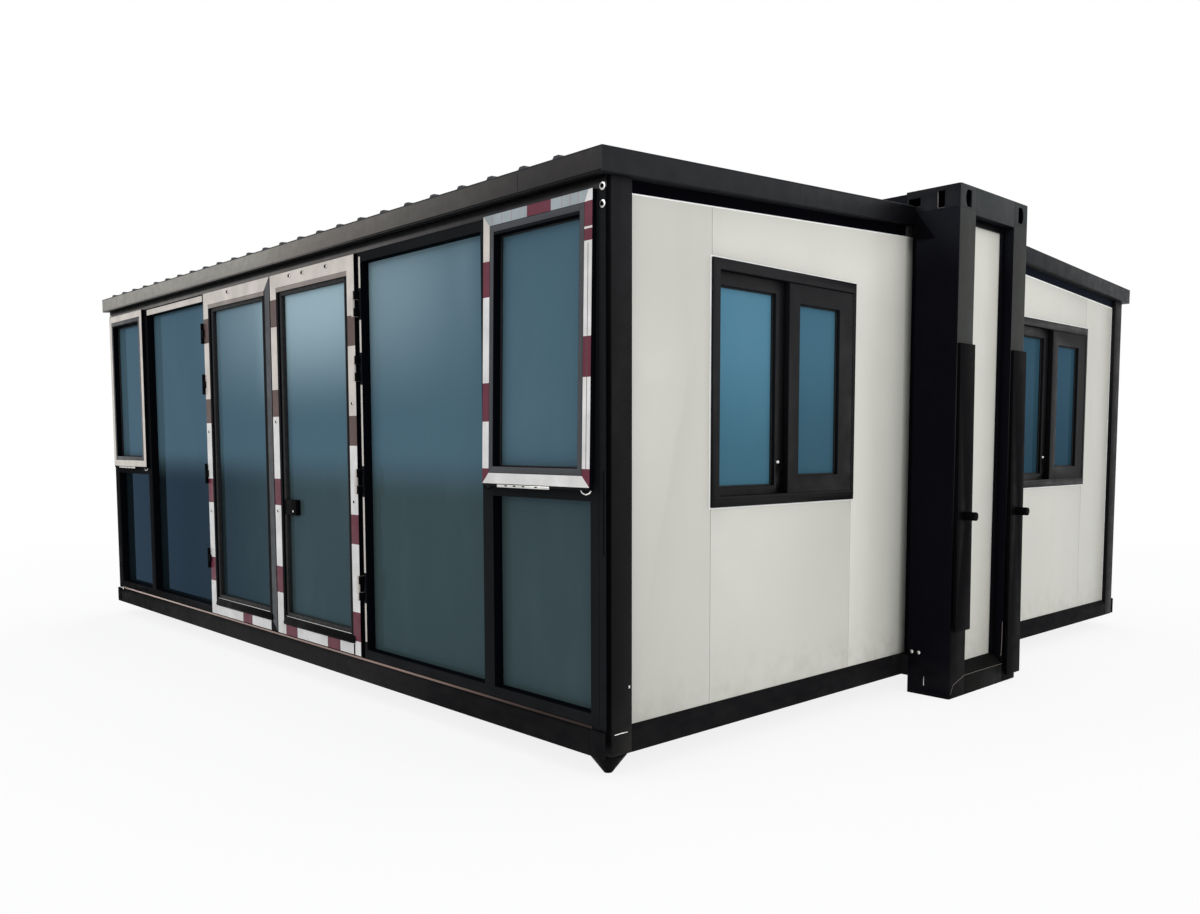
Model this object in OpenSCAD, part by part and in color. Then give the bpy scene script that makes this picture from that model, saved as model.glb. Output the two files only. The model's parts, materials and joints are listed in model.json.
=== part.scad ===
// Expandable container office: a narrow steel core with a wing unfolded on each side.
// X runs along the building, Y across it with the glazed front at -Y, Z is up from the ground.

/* [Core] */
// Length of the core over its end frames
core_len = 5900; // [5500:10:6200]
// Width of the core, which is also the folded width
core_w = 700; // [600:10:900]
// Height of the core
core_h = 2480; // [2300:10:2700]
// Length of each end frame's post section along the building
post_len = 230; // [180:5:260]
// Width of each end frame's post across the core
post_w = 150; // [120:5:180]
// Wall of the posts' folded steel
post_wall = 8; // [5:1:12]
// Depth of the end frame's header
header_h = 130; // [125:5:200]
// Height of the end frame's bottom rail
end_rail_h = 110; // [90:5:130]
// Depth of the long beams at the top of the core
top_beam_h = 110; // [90:5:110]
// Width of the long beams at the top and bottom of the core
long_beam_w = 80; // [60:5:100]
// How far the end panels sit back from the end frames
end_recess = 60; // [40:5:80]
// Thickness of the end panels
end_panel_t = 50; // [40:5:60]
// Thickness of the core's insulated roof
core_roof_t = 75; // [50:5:90]
// Length of the corner fittings on top of the posts
fitting_len = 290; // [240:5:320]
// Width of the lifting slots in the fittings' sides
slot_w = 39; // [30:1:50]
// Height of the lifting slots
slot_h = 80; // [60:1:80]
// Distance of the lifting slots' top ends below the fittings' top
slot_drop = 22; // [15:1:22]
// Distance of the side slots from the end faces
slot_inset = 83; // [70:1:100]
// Width of the lifting slots in the end faces
end_slot_w = 55; // [40:1:60]
// Distance of the end slots from the core's sides
end_slot_inset = 50; // [40:1:60]
// Length of the small holes in the fittings' sides
side_hole_w = 68; // [40:1:70]
// Height of the small holes in the fittings' sides
side_hole_h = 38; // [20:1:40]
// Distance of the small holes from the end faces
side_hole_inset = 213; // [200:1:215]

/* [Leg bars] */
// Width of the flat bars that hang on the end posts
bar_w = 145; // [90:1:150]
// Thickness of the flat bars
bar_t = 16; // [10:1:20]
// Height of the bars' top ends
bar_top = 1730; // [1500:10:1900]
// Height of the front bars' lower ends
front_bar_foot = 335; // [40:5:400]
// Height of the rear bars' lower ends
rear_bar_foot = 40; // [40:5:400]
// Height of the pins that hold the bars
pin_z = 900; // [700:10:1200]
// Radius of the pins
pin_r = 21; // [12:1:25]
// Length of the pins that shows
pin_len = 82; // [60:1:100]
// Angle at which the bars lean out from the posts
bar_lean = 0.4; // [0:0.1:1.5]

/* [Wings] */
// Clearance between the wing roofs' ends and the end frames
wing_gap = 10; // [5:1:60]
// Width of the building over its front and rear walls
wing_span = 4750; // [4550:10:5000]
// Height of the wings' underside above the ground
lift = 85; // [60:5:100]
// Height of the wings' base beams
base_h = 100; // [90:5:120]
// Width of the wings' base beams
base_w = 80; // [60:5:90]
// How far the base beams stand out from the front and rear walls
base_proud = 15; // [5:1:20]
// Chamfer along the base beams' outer top edge
base_chamfer = 22; // [10:1:30]
// Side of the floor joists
joist = 50; // [40:5:60]
// Distance between floor joists
joist_pitch = 560; // [450:10:600]
// Thickness of the floor boards
deck_t = 20; // [15:1:25]
// Height of the core's top above the roofs' underside at their outer edge
eave_drop = 280; // [260:5:300]
// Rise of the wing roofs from their outer edge to the core
roof_rise = 118; // [90:1:140]
// Depth of the wing roofs' edge frames
roof_frame_h = 86; // [60:2:90]
// Width of the wing roofs' edge frames
roof_frame_w = 70; // [50:5:90]
// Overhang of the wing roofs past the front and rear walls
eave_over = 41; // [30:1:60]
// Overhang of the wing roofs past the end walls
gable_over = 25; // [10:1:30]
// Pitch of the ribs in the roof sheets
rib_pitch = 205; // [150:5:300]
// Width of a roof rib at its foot
rib_w = 46; // [30:2:60]
// Height of the roof ribs
rib_h = 10; // [6:1:14]
// Side of the wings' corner posts along the end walls
corner_post = 105; // [90:5:120]
// Side of the wings' corner posts along the front
corner_len = 78; // [65:1:85]
// Thickness of the end and rear wall panels
wall_t = 60; // [50:5:75]
// How far the end and rear wall panels sit back from the frame
wall_back = 25; // [15:1:35]
// Height of the dark channel over the wall panels
head_channel_h = 48; // [30:2:60]
// Radius of the levelling foot's cone, at the top
foot_r = 74; // [50:2:78]
// Radius of the levelling foot's tip on the ground
foot_tip_r = 22; // [15:1:40]
// How far the foot's centre is inside the corner, both ways
foot_inset = 84; // [80:1:100]

/* [End and rear windows] */
// Width of the sliding windows
win_w = 1000; // [800:10:1100]
// Height of the sliding windows
win_h = 1000; // [800:5:1050]
// Distance of the windows' top edges below the roofs' outer underside
win_drop = 210; // [100:5:300]
// Distance of the front wing's end windows' centres from the building's centre line
front_win_y = 1285; // [1250:5:1400]
// Distance of the rear wing's end windows' centres from the building's centre line
rear_win_y = 1340; // [1250:5:1400]
// Distance of the rear windows' centres from the building's middle
rear_win_x = 1350; // [1000:10:1700]
// Face width of the window frames
win_bar = 44; // [40:2:60]
// Face width of the window frames' side beside the sliding sash
win_side = 20; // [16:2:40]
// Depth of the window frames
win_depth = 75; // [70:5:90]

/* [Glazed front] */
// Depth of the front's frame members
front_t = 95; // [80:5:110]
// Depth of the groove between the front's cover and the corner posts, with the cover
front_edge = 25; // [15:1:30]
// Thickness of the cover
cover_t = 6; // [4:1:8]
// How far the fixed glass sits back from the front's face
glass_back = 45; // [30:1:55]
// Thickness of the double glazing
glass_t = 20; // [14:1:26]
// Face width of the end stiles' part beside the corner posts
end_stile = 10; // [8:1:30]
// Distance of the mullions' centres from the building's middle
mullion_x = 1960; // [1850:10:2050]
// Face width of the mullions
mullion_w = 70; // [50:2:80]
// Face width of the door jambs
jamb_w = 25; // [22:1:50]
// Height of the front's bottom and top rails
rail_h = 46; // [35:1:55]
// Thickness of the bright sill strip
sill_t = 10; // [6:1:12]
// Height of the transoms under the opening windows
transom_z = 1036; // [950:1:1100]
// Height of the transoms' face
transom_h = 46; // [35:1:55]
// Height of the rail over the doors, at the front's face
head_rail_h = 44; // [30:1:60]
// Distance of the opening windows' outer edges from the wing's end
sash_inset = 49; // [45:1:80]
// Overlap of the sashes' flanges on the mullions
sash_lap = 19; // [10:1:30]
// Thickness of the opening windows' sashes
sash_t = 20; // [14:1:20]
// Face width of the sashes' stiles
sash_bar = 70; // [65:1:95]
// Face width of the sashes' rails
sash_rail = 80; // [70:1:95]
// Depth of the sashes' inner part behind the front's face
sash_deep = 38; // [30:1:45]
// Clearance between the sashes' inner part and the fixed frame
sash_gap = 4; // [3:0.5:6]
// Angle at which the right sash stands ajar
sash_open = 1.05; // [0:0.05:1.1]

/* [Doors] */
// Width of each door leaf
leaf_w = 910; // [850:5:940]
// Height of the door leaves' bottom edge above the ground
leaf_z = 205; // [205:1:215]
// Thickness of the door leaves
leaf_t = 45; // [40:1:50]
// How far the leaves stand out from the front's face
leaf_proud = 15; // [5:1:18]
// Face width of the leaves' stiles and top rails
leaf_bar = 92; // [80:1:110]
// Face width of the leaves' bottom rails
leaf_foot = 100; // [90:1:130]
// Clearance between the leaves and around them
leaf_gap = 10; // [8:0.5:12]
// Radius of the hinge knuckles
knuckle_r = 8; // [6:0.5:9]
// Length of a hinge knuckle
knuckle_len = 40; // [30:1:50]
// Depth of the stop lining behind the leaves
stop_lap = 14; // [10:1:20]

/* [Hidden] */

steel_dark = [0.12, 0.12, 0.13];
steel_grey = [0.27, 0.27, 0.26];
panel_white = [0.82, 0.82, 0.78];
glass_tint = [0.25, 0.35, 0.38];
floor_board = [0.45, 0.43, 0.40];
bright_metal = [0.72, 0.66, 0.63];

core_x = core_len / 2;
core_y = core_w / 2;
core_in_x = core_x - post_len;
core_in_y = core_y - post_w;
header_t = end_recess + end_panel_t;
fitting_x = core_x - fitting_len;
fitting_z = core_h - top_beam_h;
// The end walls run on beside the posts, over the width of the core's long beams.
lap_y = core_y - long_beam_w;
wing_x = core_in_x - wing_gap - gable_over;
corner_x = wing_x - corner_len;
eave_z = core_h - eave_drop;
win_z = eave_z - win_drop - win_h;
// Root gap of welded joints inside one node, and clearance at sloping seats
weld_gap = 0.5;
seat_gap = 0.2;
face_y = wing_span / 2;
wall_x = wing_x - wall_back;
wall_y = face_y - wall_back;
base_z = lift + base_h;
floor_z = base_z + sill_t;
deck_z = floor_z - deck_t;
roof_x = wing_x + gable_over;
roof_y = face_y + eave_over;
roof_slope = atan(roof_rise / (roof_y - core_y));
sheet_t = 4;
// Setbacks: the core's top beams and roof below its top, the wing roofs' sheets from the
// core, and the front's cover from the wing's end
beam_drop = 8;
roof_back = 8;
cover_back = 3;
// Height of the slope on the end frames' bottom rails
end_sill_rise = 40;
// Sliding windows: the fixed light fills the left part of the frame and the sliding sash
// stands in front of it on the right. The lists hold left, right, bottom and top bars.
win_proud = 12;
win_glass_t = 6;
win_glass_back = 24;
win_lap = 30;
fixed_y = [-win_w / 2 + win_bar, win_lap];
fixed_x = [win_proud - win_depth + 3, -24];
fixed_bars = [14, win_lap + 54, 35, 54];
sliding_y = [0, win_w / 2 - win_side];
sliding_x = [-22, win_proud - 4];
sliding_bars = [75, 105, 76, 88];
post_in_y = face_y - front_edge - corner_post;
front_back = face_y - front_t;

// Door leaves: the hinge axes lie just outside the leaves' outer edges.
leaf_x0 = leaf_gap / 2;
hinge_x = leaf_x0 + leaf_w + leaf_gap / 2;
jamb_x = hinge_x + leaf_gap / 2;
leaf_y = face_y + leaf_proud;
hinge_y = leaf_y + knuckle_r + 2;
head_z = eave_z - head_rail_h;
leaf_top = head_z - leaf_gap * 0.6;
leaf_h = leaf_top - leaf_z;
knuckle_gap = 0.5;
hinge_plate = 12;
hinge_heights = [545, 1065, 1607, 1913];

// Height of a wing roof's underside at distance y from the centre line.
function eave(y) = eave_z + roof_rise * (roof_y - y) / (roof_y - core_y);

module box(x0, x1, y0, y1, z0, z1)
    translate([min(x0, x1), min(y0, y1), min(z0, z1)])
        cube([abs(x1 - x0), abs(y1 - y0), abs(z1 - z0)]);

// A profile in the YZ plane, run along X.
module prism_x(x0, x1, points)
    translate([x0, 0, 0]) rotate([90, 0, 90]) linear_extrude(x1 - x0) polygon(points);

// A profile in the XZ plane, run along Y.
module prism_y(y0, y1, points)
    translate([0, y1, 0]) rotate([90, 0, 0]) linear_extrude(y1 - y0) polygon(points);

// Everything below is drawn for the right end (+X) and the front (-Y), and mirrored for the others.
module left() mirror([1, 0, 0]) children();
module rear() mirror([0, 1, 0]) children();

// ---- Core ----

// Closed box section between two corners, with walls of post_wall.
module box_section(x0, x1, y0, y1, z0, z1)
    difference() {
        box(x0, x1, y0, y1, z0, z1);
        box(x0 + post_wall, x1 - post_wall, y0 + post_wall, y1 - post_wall,
            z0 + post_wall, z1 - post_wall);
    }

module post() box_section(core_in_x, core_x, -core_y, -core_in_y, 0, fitting_z - weld_gap);

// End frame: posts, header and bottom rail, the panel's trim and the wings' seal strips.
module end_frame() {
    trim_w = 33;
    trim_h = 30;
    trim_t = 14;
    seal_w = 15;
    lip = 10;
    trim_x = core_x - end_recess;
    inner_y = core_in_y - weld_gap;
    header_z = core_h - header_h;
    panel_z = end_rail_h + end_sill_rise;
    color(steel_grey) {
        post();
        rear() post();
        box(core_x - header_t, core_x, -inner_y, inner_y, header_z, core_h);
        prism_y(-inner_y, inner_y, [
            [core_x - header_t, 0], [core_x, 0], [core_x, end_rail_h - lip],
            [core_x - trim_t, end_rail_h], [trim_x, panel_z], [trim_x - end_panel_t, panel_z]]);
        for (side = [-1, 1])
            box(trim_x, trim_x + trim_t, side * (core_in_y - trim_w), side * inner_y,
                panel_z + weld_gap, header_z - trim_h);
        box(trim_x, trim_x + trim_t, -inner_y, inner_y,
            header_z - trim_h + weld_gap, header_z - weld_gap);
        for (side = [0, 1]) mirror([0, side, 0]) {
            box(wall_x, core_in_x - weld_gap, -lap_y - seal_w, -lap_y, base_z, fitting_z - weld_gap);
            // filler between an end wall's head and the corner fitting
            prism_x(wall_x - wall_t, wall_x - weld_gap, [
                [-core_y, eave(core_y) - head_channel_h], [-lap_y, eave(lap_y) - head_channel_h],
                [-lap_y, fitting_z - weld_gap], [-core_y, fitting_z - weld_gap]]);
        }
    }
}

// Hollow block on top of a post, with a lifting slot in its side and one in its end face.
module corner_fitting() {
    slot_top = core_h - slot_drop;
    hole_z = slot_top - slot_h / 2 - side_hole_h / 2 + 6;
    end_slot_y = -core_y + end_slot_inset + end_slot_w;
    slot_r = 62;
    difference() {
        box_section(fitting_x, core_x, -core_y, -core_in_y, fitting_z, core_h);
        box(core_x - slot_inset - slot_w, core_x - slot_inset, -core_y - 1, -core_y + post_wall + 1,
            slot_top - slot_h, slot_top);
        box(core_x - side_hole_inset - side_hole_w, core_x - side_hole_inset,
            -core_y - 1, -core_y + post_wall + 1, hole_z, hole_z + side_hole_h);
        // the end slot's outer side is an arc
        intersection() {
            box(core_x - post_wall - 1, core_x + 1, end_slot_y - end_slot_w, end_slot_y,
                slot_top - slot_h, slot_top);
            translate([core_x - post_wall - 1, end_slot_y - end_slot_w + slot_r, slot_top - slot_h / 2])
                rotate([0, 90, 0]) cylinder(r = slot_r, h = post_wall + 2);
        }
    }
}

module corner_fittings()
    color(steel_grey) {
        corner_fitting();
        left() corner_fitting();
        rear() corner_fitting();
        left() rear() corner_fitting();
    }

module end_panel()
    color(panel_white)
        box(core_x - header_t, core_x - end_recess, -core_in_y, core_in_y,
            end_rail_h + end_sill_rise, core_h - header_h);

// Flat bar that hangs loosely on a pin in a post's end face.
module leg_bar(y, foot_z) {
    pin_gap = 0.5;
    difference() {
        translate([core_x, y, bar_top]) rotate([0, -bar_lean, 0])
            translate([0, -bar_w / 2, foot_z - bar_top]) cube([bar_t, bar_w, bar_top - foot_z]);
        translate([core_x - 1, y, pin_z]) rotate([0, 90, 0]) cylinder(r = pin_r + pin_gap, h = pin_len);
    }
    translate([core_x, y, pin_z]) rotate([0, 90, 0]) cylinder(r = pin_r, h = pin_len);
}

module leg_bars() {
    bar_y = core_y - post_w / 2;
    color(steel_dark) {
        leg_bar(-bar_y, front_bar_foot);
        leg_bar(bar_y, rear_bar_foot);
    }
}

module core_top_beams() {
    color(steel_grey)
        for (side = [-1, 1])
            box(-fitting_x, fitting_x, side * (core_y - long_beam_w), side * core_y,
                fitting_z, core_h - beam_drop);
}

// A ribbed sheet in its own plane: it runs from y = 0 to y = run, its underside at z = 0.
module ribbed_sheet(half_len, run) {
    rib_count = floor((half_len - rib_w) / rib_pitch);
    rib_top = rib_w * 0.6;
    translate([0, run, 0]) rotate([90, 0, 0]) linear_extrude(run) polygon([
        [-half_len, 0], [half_len, 0], [half_len, sheet_t],
        for (i = [rib_count : -1 : -rib_count])
            for (p = [[rib_w / 2, 0], [rib_top / 2, rib_h], [-rib_top / 2, rib_h], [-rib_w / 2, 0]])
                [i * rib_pitch + p[0], sheet_t + p[1]],
        [-half_len, sheet_t]]);
}

module core_roof() {
    roof_z = core_h - beam_drop - rib_h - sheet_t;
    header_x = core_x - header_t;
    edge_y = core_y - long_beam_w;
    color(steel_dark) union() {
        translate([0, -edge_y, roof_z]) ribbed_sheet(fitting_x, 2 * edge_y);
        box(-fitting_x, fitting_x, -edge_y, edge_y, roof_z - core_roof_t, roof_z + sheet_t / 2);
        // the roof runs on between the posts, up to the headers
        box(-header_x, header_x, -core_in_y, core_in_y, roof_z - core_roof_t, roof_z + sheet_t);
    }
}

// Cross joists under a floor, between y0 and y1 and as far as half_len from the middle.
module joists(half_len, y0, y1) {
    count = floor((half_len - joist) / joist_pitch);
    for (i = [-count : count])
        box(i * joist_pitch - joist / 2, i * joist_pitch + joist / 2,
            y0 + weld_gap, y1 - weld_gap, deck_z - joist, deck_z);
}

module core_base_frame() {
    edge_y = core_y - long_beam_w;
    color(steel_dark) {
        for (side = [-1, 1])
            box(-core_in_x, core_in_x, side * edge_y, side * core_y, lift, base_z);
        joists(core_in_x, -edge_y, edge_y);
        for (side = [-1, 1])
            box(side * (core_in_x - joist), side * core_in_x,
                -edge_y + weld_gap, edge_y - weld_gap, deck_z - joist, deck_z);
    }
}

module core_floor() {
    header_x = core_x - header_t;
    edge_y = core_y - long_beam_w;
    color(floor_board) union() {
        box(-core_in_x, core_in_x, -edge_y, edge_y, deck_z, floor_z);
        box(-header_x, header_x, -core_in_y, core_in_y, deck_z, floor_z);
    }
}

// ---- Wings ----

// Base beam's section: outer face at reach, chamfered along its outer top edge.
function base_section(reach) = [
    [-reach, lift], [base_w - reach, lift], [base_w - reach, base_z],
    [base_chamfer - reach, base_z], [-reach, base_z - base_chamfer]];

module floor_frame() {
    out_y = face_y + base_proud;
    out_in_y = -out_y + base_w;
    in_y = -core_y - base_w;
    beam_x = corner_x - weld_gap;
    plate_t = 12;
    color(steel_dark) {
        prism_x(-beam_x, beam_x, base_section(out_y));
        box(-wing_x, wing_x, in_y, -core_y, lift, base_z);
        for (side = [0, 1]) mirror([side, 0, 0]) {
            prism_y(-post_in_y + weld_gap, in_y - weld_gap, [
                [wing_x - base_w, lift], [wing_x, lift], [wing_x, base_z - base_chamfer],
                [wing_x - base_chamfer, base_z], [wing_x - base_w, base_z]]);
            // plate that carries the outer beam's face on past the corner post
            box(corner_x, wing_x - cover_back, -out_y, -out_y + plate_t, lift, base_z);
        }
        joists(corner_x, out_in_y, in_y);
    }
}

// Floor board of a wing, from the inner beam out to edge_y.
module floor_deck(edge_y)
    color(floor_board)
        box(-wall_x + wall_t, wall_x - wall_t, -edge_y, -core_y - base_w, deck_z, floor_z);

// Full-length profile that follows the roof between two distances from the centre line.
module roof_strip(x0, x1, y0, y1, z0, z1)
    prism_x(x0, x1, [
        [-y0, eave(y0) + z0], [-y1, eave(y1) + z0], [-y1, eave(y1) + z1], [-y0, eave(y0) + z1]]);

module roof_frame() {
    color(steel_dark) union() {
        roof_strip(-roof_x, roof_x, roof_y, roof_y - roof_frame_w, 0, roof_frame_h);
        roof_strip(-roof_x, roof_x, core_y + roof_frame_w, core_y, 0, roof_frame_h);
        for (side = [0, 1]) mirror([side, 0, 0]) {
            roof_strip(roof_x - roof_frame_w, roof_x, roof_y, core_y, 0, roof_frame_h);
            roof_strip(wall_x - wall_t, wall_x, post_in_y, core_y, -head_channel_h, sheet_t / 2);
        }
    }
}

module wing_roof() {
    run = (roof_y - core_y) / cos(roof_slope) - roof_back;
    color(steel_dark) union() {
        roof_strip(-roof_x + roof_frame_w, roof_x - roof_frame_w,
                   roof_y - roof_frame_w, core_y + roof_frame_w, sheet_t, roof_frame_h + sheet_t / 2);
        translate([0, -roof_y, eave_z + roof_frame_h + seat_gap]) rotate([roof_slope, 0, 0])
            ribbed_sheet(roof_x, run);
    }
}

module corner_post()
    color(steel_dark)
        roof_post(corner_x, wing_x, face_y - front_edge, post_in_y);

// A post that reaches from the base's underside up to the sloping roof.
module roof_post(x0, x1, y0, y1)
    prism_x(x0, x1, [
        [-y0, lift], [-y1, lift], [-y1, eave(y1) - seat_gap], [-y0, eave(y0) - seat_gap]]);

module corner_posts() {
    corner_post();
    left() corner_post();
}

// Turned foot under the front wing's right corner: a rounded tip, a cone and a rim.
module levelling_foot() {
    tip_h = 8;
    rim_h = 10;
    color(steel_dark) translate([wing_x - foot_inset, -face_y + foot_inset, 0])
        rotate_extrude() polygon([
            [0, 0], [foot_tip_r - 6, 0], [foot_tip_r, tip_h],
            [foot_r, lift - rim_h], [foot_r, lift], [0, lift]]);
}

// ---- End walls ----

module window_hole_end(win_y)
    box(wall_x - wall_t - 1, wall_x + 1, -win_y - win_w / 2, -win_y + win_w / 2,
        win_z, win_z + win_h);

// End wall of a wing, with its window's centre at win_y from the centre line.
module end_wall(win_y) {
    seam = 4;
    seam_depth = 3;
    color(panel_white) difference() {
        prism_x(wall_x - wall_t, wall_x, [
            [-post_in_y, base_z], [-lap_y, base_z],
            [-lap_y, eave(lap_y) - head_channel_h - seat_gap],
            [-post_in_y, eave(post_in_y) - head_channel_h - seat_gap]]);
        window_hole_end(win_y);
        // joints between the sandwich panels
        for (edge = [[-1, win_z + win_h, eave_z], [-1, base_z + seam, win_z], [1, base_z + seam, win_z]])
            box(wall_x - seam_depth, wall_x + 1,
                -win_y + edge[0] * (win_w / 2 - seam) - seam / 2,
                -win_y + edge[0] * (win_w / 2 - seam) + seam / 2, edge[1], edge[2]);
    }
}

// Sliding window in its own place: width along +Y, sill at z = 0, outer face at x = 0.
module sliding_window() {
    difference() {
        translate([win_proud - win_depth, -win_w / 2, 0]) cube([win_depth, win_w, win_h]);
        translate([-win_depth, -win_w / 2 + win_bar, win_bar])
            cube([win_depth * 2, win_w - win_bar - win_side, win_h - 2 * win_bar]);
    }
    window_ring(fixed_y, fixed_x, fixed_bars);
    window_ring(sliding_y, sliding_x, sliding_bars);
}

// A ring of bars between the window frame's head and foot. span and depth are its limits in
// Y and X, and bars holds the face widths of its left, right, bottom and top bar.
module window_ring(span, depth, bars)
    difference() {
        ring_space(span, depth, [0, 0, 0, 0]);
        ring_space(span, [depth[0] - 1, depth[1] + 1], bars);
    }

// The glass in such a ring, set back from the ring's face.
module ring_glass(span, depth, bars) {
    front = depth[1] - win_glass_back;
    ring_space(span, [front - win_glass_t, front], bars);
}

module ring_space(span, depth, bars)
    translate([depth[0], span[0] + bars[0], win_bar + bars[2]])
        cube([depth[1] - depth[0], span[1] - span[0] - bars[0] - bars[1],
              win_h - 2 * win_bar - bars[2] - bars[3]]);

module sliding_glass() {
    ring_glass(fixed_y, fixed_x, fixed_bars);
    ring_glass(sliding_y, sliding_x, sliding_bars);
}

module at_end_windows()
    for (y = [-front_win_y, rear_win_y]) translate([wall_x, y, win_z]) children();

module end_windows() color(steel_dark) at_end_windows() sliding_window();
module end_window_glass() color(glass_tint) at_end_windows() sliding_glass();

// ---- Glazed front ----

module front_sill()
    color(bright_metal)
        box(-corner_x, corner_x, -face_y - 4, -face_y - base_proud + base_w, base_z, floor_z);

module front_head_rail()
    color(steel_dark) union() {
        prism_x(-corner_x, corner_x, [
            [-face_y, head_z], [-front_back, head_z],
            [-front_back, eave(front_back) - seat_gap], [-face_y, eave(face_y) - seat_gap]]);
        prism_x(-wing_x + cover_back, wing_x - cover_back, [
            [-face_y, head_z], [-face_y + cover_t, head_z],
            [-face_y + cover_t, eave(face_y - cover_t) - seat_gap],
            [-face_y, eave(face_y) - seat_gap]]);
    }

// The two fixed bays to the right of the doors, as one welded frame.
module front_frame() {
    mid0 = mullion_x - mullion_w / 2;
    mid1 = mullion_x + mullion_w / 2;
    end0 = corner_x - end_stile;
    color(steel_dark) union() {
        front_bar(jamb_x, jamb_x + jamb_w, floor_z, head_z);
        front_bar(mid0, mid1, floor_z, head_z);
        front_bar(end0, corner_x, floor_z, head_z);
        // cover in front of the corner post, with an open groove behind it
        box(end0, wing_x - cover_back, -face_y, -face_y + cover_t, floor_z, head_z);
        box(corner_x, wing_x - cover_back, -face_y, -face_y + cover_t, base_z, floor_z);
        front_bar(jamb_x, corner_x, floor_z, floor_z + rail_h);
        front_bar(jamb_x, corner_x, head_z - rail_h, head_z);
        front_bar(mid1, end0, transom_z, transom_z + transom_h);
    }
}

module front_bar(x0, x1, z0, z1) box(x0, x1, -face_y, -front_back, z0, z1);

module pane(x0, x1, z0, z1)
    box(x0, x1, -face_y + glass_back, -face_y + glass_back + glass_t, z0, z1);

// Fixed panes of the right side, and the pane of its opening window.
module front_glass(open) {
    color(glass_tint) {
        pane(jamb_x + jamb_w, mullion_x - mullion_w / 2, floor_z + rail_h, head_z - rail_h);
        pane(mullion_x + mullion_w / 2, corner_x - end_stile, floor_z + rail_h, transom_z);
        at_sash(open)
            box(-sash_w / 2 + sash_bar, sash_w / 2 - sash_bar, sash_deep - 14, sash_deep - 4,
                sash_rail - sash_h, -sash_rail);
    }
}

sash_x0 = mullion_x + mullion_w / 2 - sash_lap;
sash_x1 = wing_x - sash_inset;
sash_x = (sash_x0 + sash_x1) / 2;
sash_w = sash_x1 - sash_x0 - 1;
sash_top = head_z;
sash_h = sash_top - transom_z - transom_h + 4;

// The opening windows hang from their top edge, on the front's face.
module at_sash(open)
    translate([sash_x, -face_y, sash_top]) rotate([-open, 0, 0]) children();

module awning_sash(open)
    color(bright_metal) at_sash(open) difference() {
        union() {
            box(-sash_w / 2, sash_w / 2, -sash_t, 0, -sash_h, 0);
            // inner part, inside the fixed frame
            box(mullion_x + mullion_w / 2 + sash_gap - sash_x, corner_x - end_stile - sash_gap - sash_x,
                -1, sash_deep, transom_z + transom_h + sash_gap - sash_top,
                -rail_h - sash_gap);
        }
        box(-sash_w / 2 + sash_bar, sash_w / 2 - sash_bar, -sash_t - 1, sash_deep + 1,
            -sash_h + sash_rail, -sash_rail);
    }

// ---- Doors ----

// Lining behind the leaves, which they close against.
module door_lining() {
    lap_x = hinge_x - leaf_gap / 2 - stop_lap;
    front_y = -leaf_y + leaf_t + leaf_gap * 0.6;
    top_z = leaf_top - stop_lap;
    color(steel_dark) union() {
        for (side = [-1, 1])
            box(side * lap_x, side * jamb_x, front_y, -front_back, floor_z, top_z);
        box(-jamb_x, jamb_x, front_y, -front_back, top_z, head_z);
    }
}

// Fixed halves of the hinges: two knuckles and their plate on the jamb.
module door_hinge_plates() {
    color(steel_dark)
        for (side = [0, 1]) mirror([side, 0, 0])
            for (z = hinge_heights, end = [-1, 1])
                union() {
                    z0 = z + end * (knuckle_len + knuckle_gap) - knuckle_len / 2;
                    translate([hinge_x, -hinge_y, z0]) cylinder(r = knuckle_r, h = knuckle_len);
                    box(hinge_x + 1, jamb_x + hinge_plate, -hinge_y - 2, -hinge_y + 2, z0, z0 + knuckle_len);
                    box(jamb_x + 4, jamb_x + hinge_plate, -hinge_y - 2, -face_y, z0, z0 + knuckle_len);
                }
}

module door_leaf() {
    x1 = leaf_x0 + leaf_w;
    color(bright_metal) union() {
        difference() {
            box(leaf_x0, x1, -leaf_y, -leaf_y + leaf_t, leaf_z, leaf_top);
            box(leaf_x0 + leaf_bar, x1 - leaf_bar, -leaf_y - 1, -leaf_y + leaf_t + 1,
                leaf_z + leaf_foot, leaf_top - leaf_bar);
        }
        for (z = hinge_heights) {
            translate([hinge_x, -hinge_y, z - knuckle_len / 2])
                cylinder(r = knuckle_r, h = knuckle_len);
            box(x1 - hinge_plate, hinge_x - 1, -hinge_y - 2, -leaf_y,
                z - knuckle_len / 2, z + knuckle_len / 2);
        }
    }
}

module door_glass()
    color(glass_tint)
        box(leaf_x0 + leaf_bar, leaf_x0 + leaf_w - leaf_bar,
            -leaf_y + leaf_t - 14, -leaf_y + leaf_t - 4,
            leaf_z + leaf_foot, leaf_top - leaf_bar);

// Lock case beside the right leaf's meeting stile, set back from its face.
module door_lock() {
    lock_w = 143;
    lock_h = 82;
    lock_z = 905;
    lock_back = 6;
    lock_x = leaf_x0 + leaf_bar;
    color(steel_dark)
        box(lock_x, lock_x + lock_w, -leaf_y + lock_back, -leaf_y + leaf_t - 14,
            lock_z - lock_h / 2, lock_z + lock_h / 2);
}

// ---- Rear wall ----

module rear_window_hole(x)
    box(x - win_w / 2, x + win_w / 2, wall_y - wall_t - 1, wall_y + 1, win_z, win_z + win_h);

module rear_wall() {
    half = corner_x;
    top_y0 = wall_y - wall_t;
    color(panel_white) difference() {
        translate([0, 0, 0]) mirror([0, 1, 0])
            prism_x(-half, half, [
                [-wall_y, base_z], [-top_y0, base_z],
                [-top_y0, eave(top_y0) - seat_gap], [-wall_y, eave(wall_y) - seat_gap]]);
        for (side = [-1, 1]) rear_window_hole(side * rear_win_x);
    }
}

module at_rear_windows()
    for (side = [-1, 1])
        translate([side * rear_win_x, wall_y, win_z]) rotate([0, 0, 90]) children();

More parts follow.
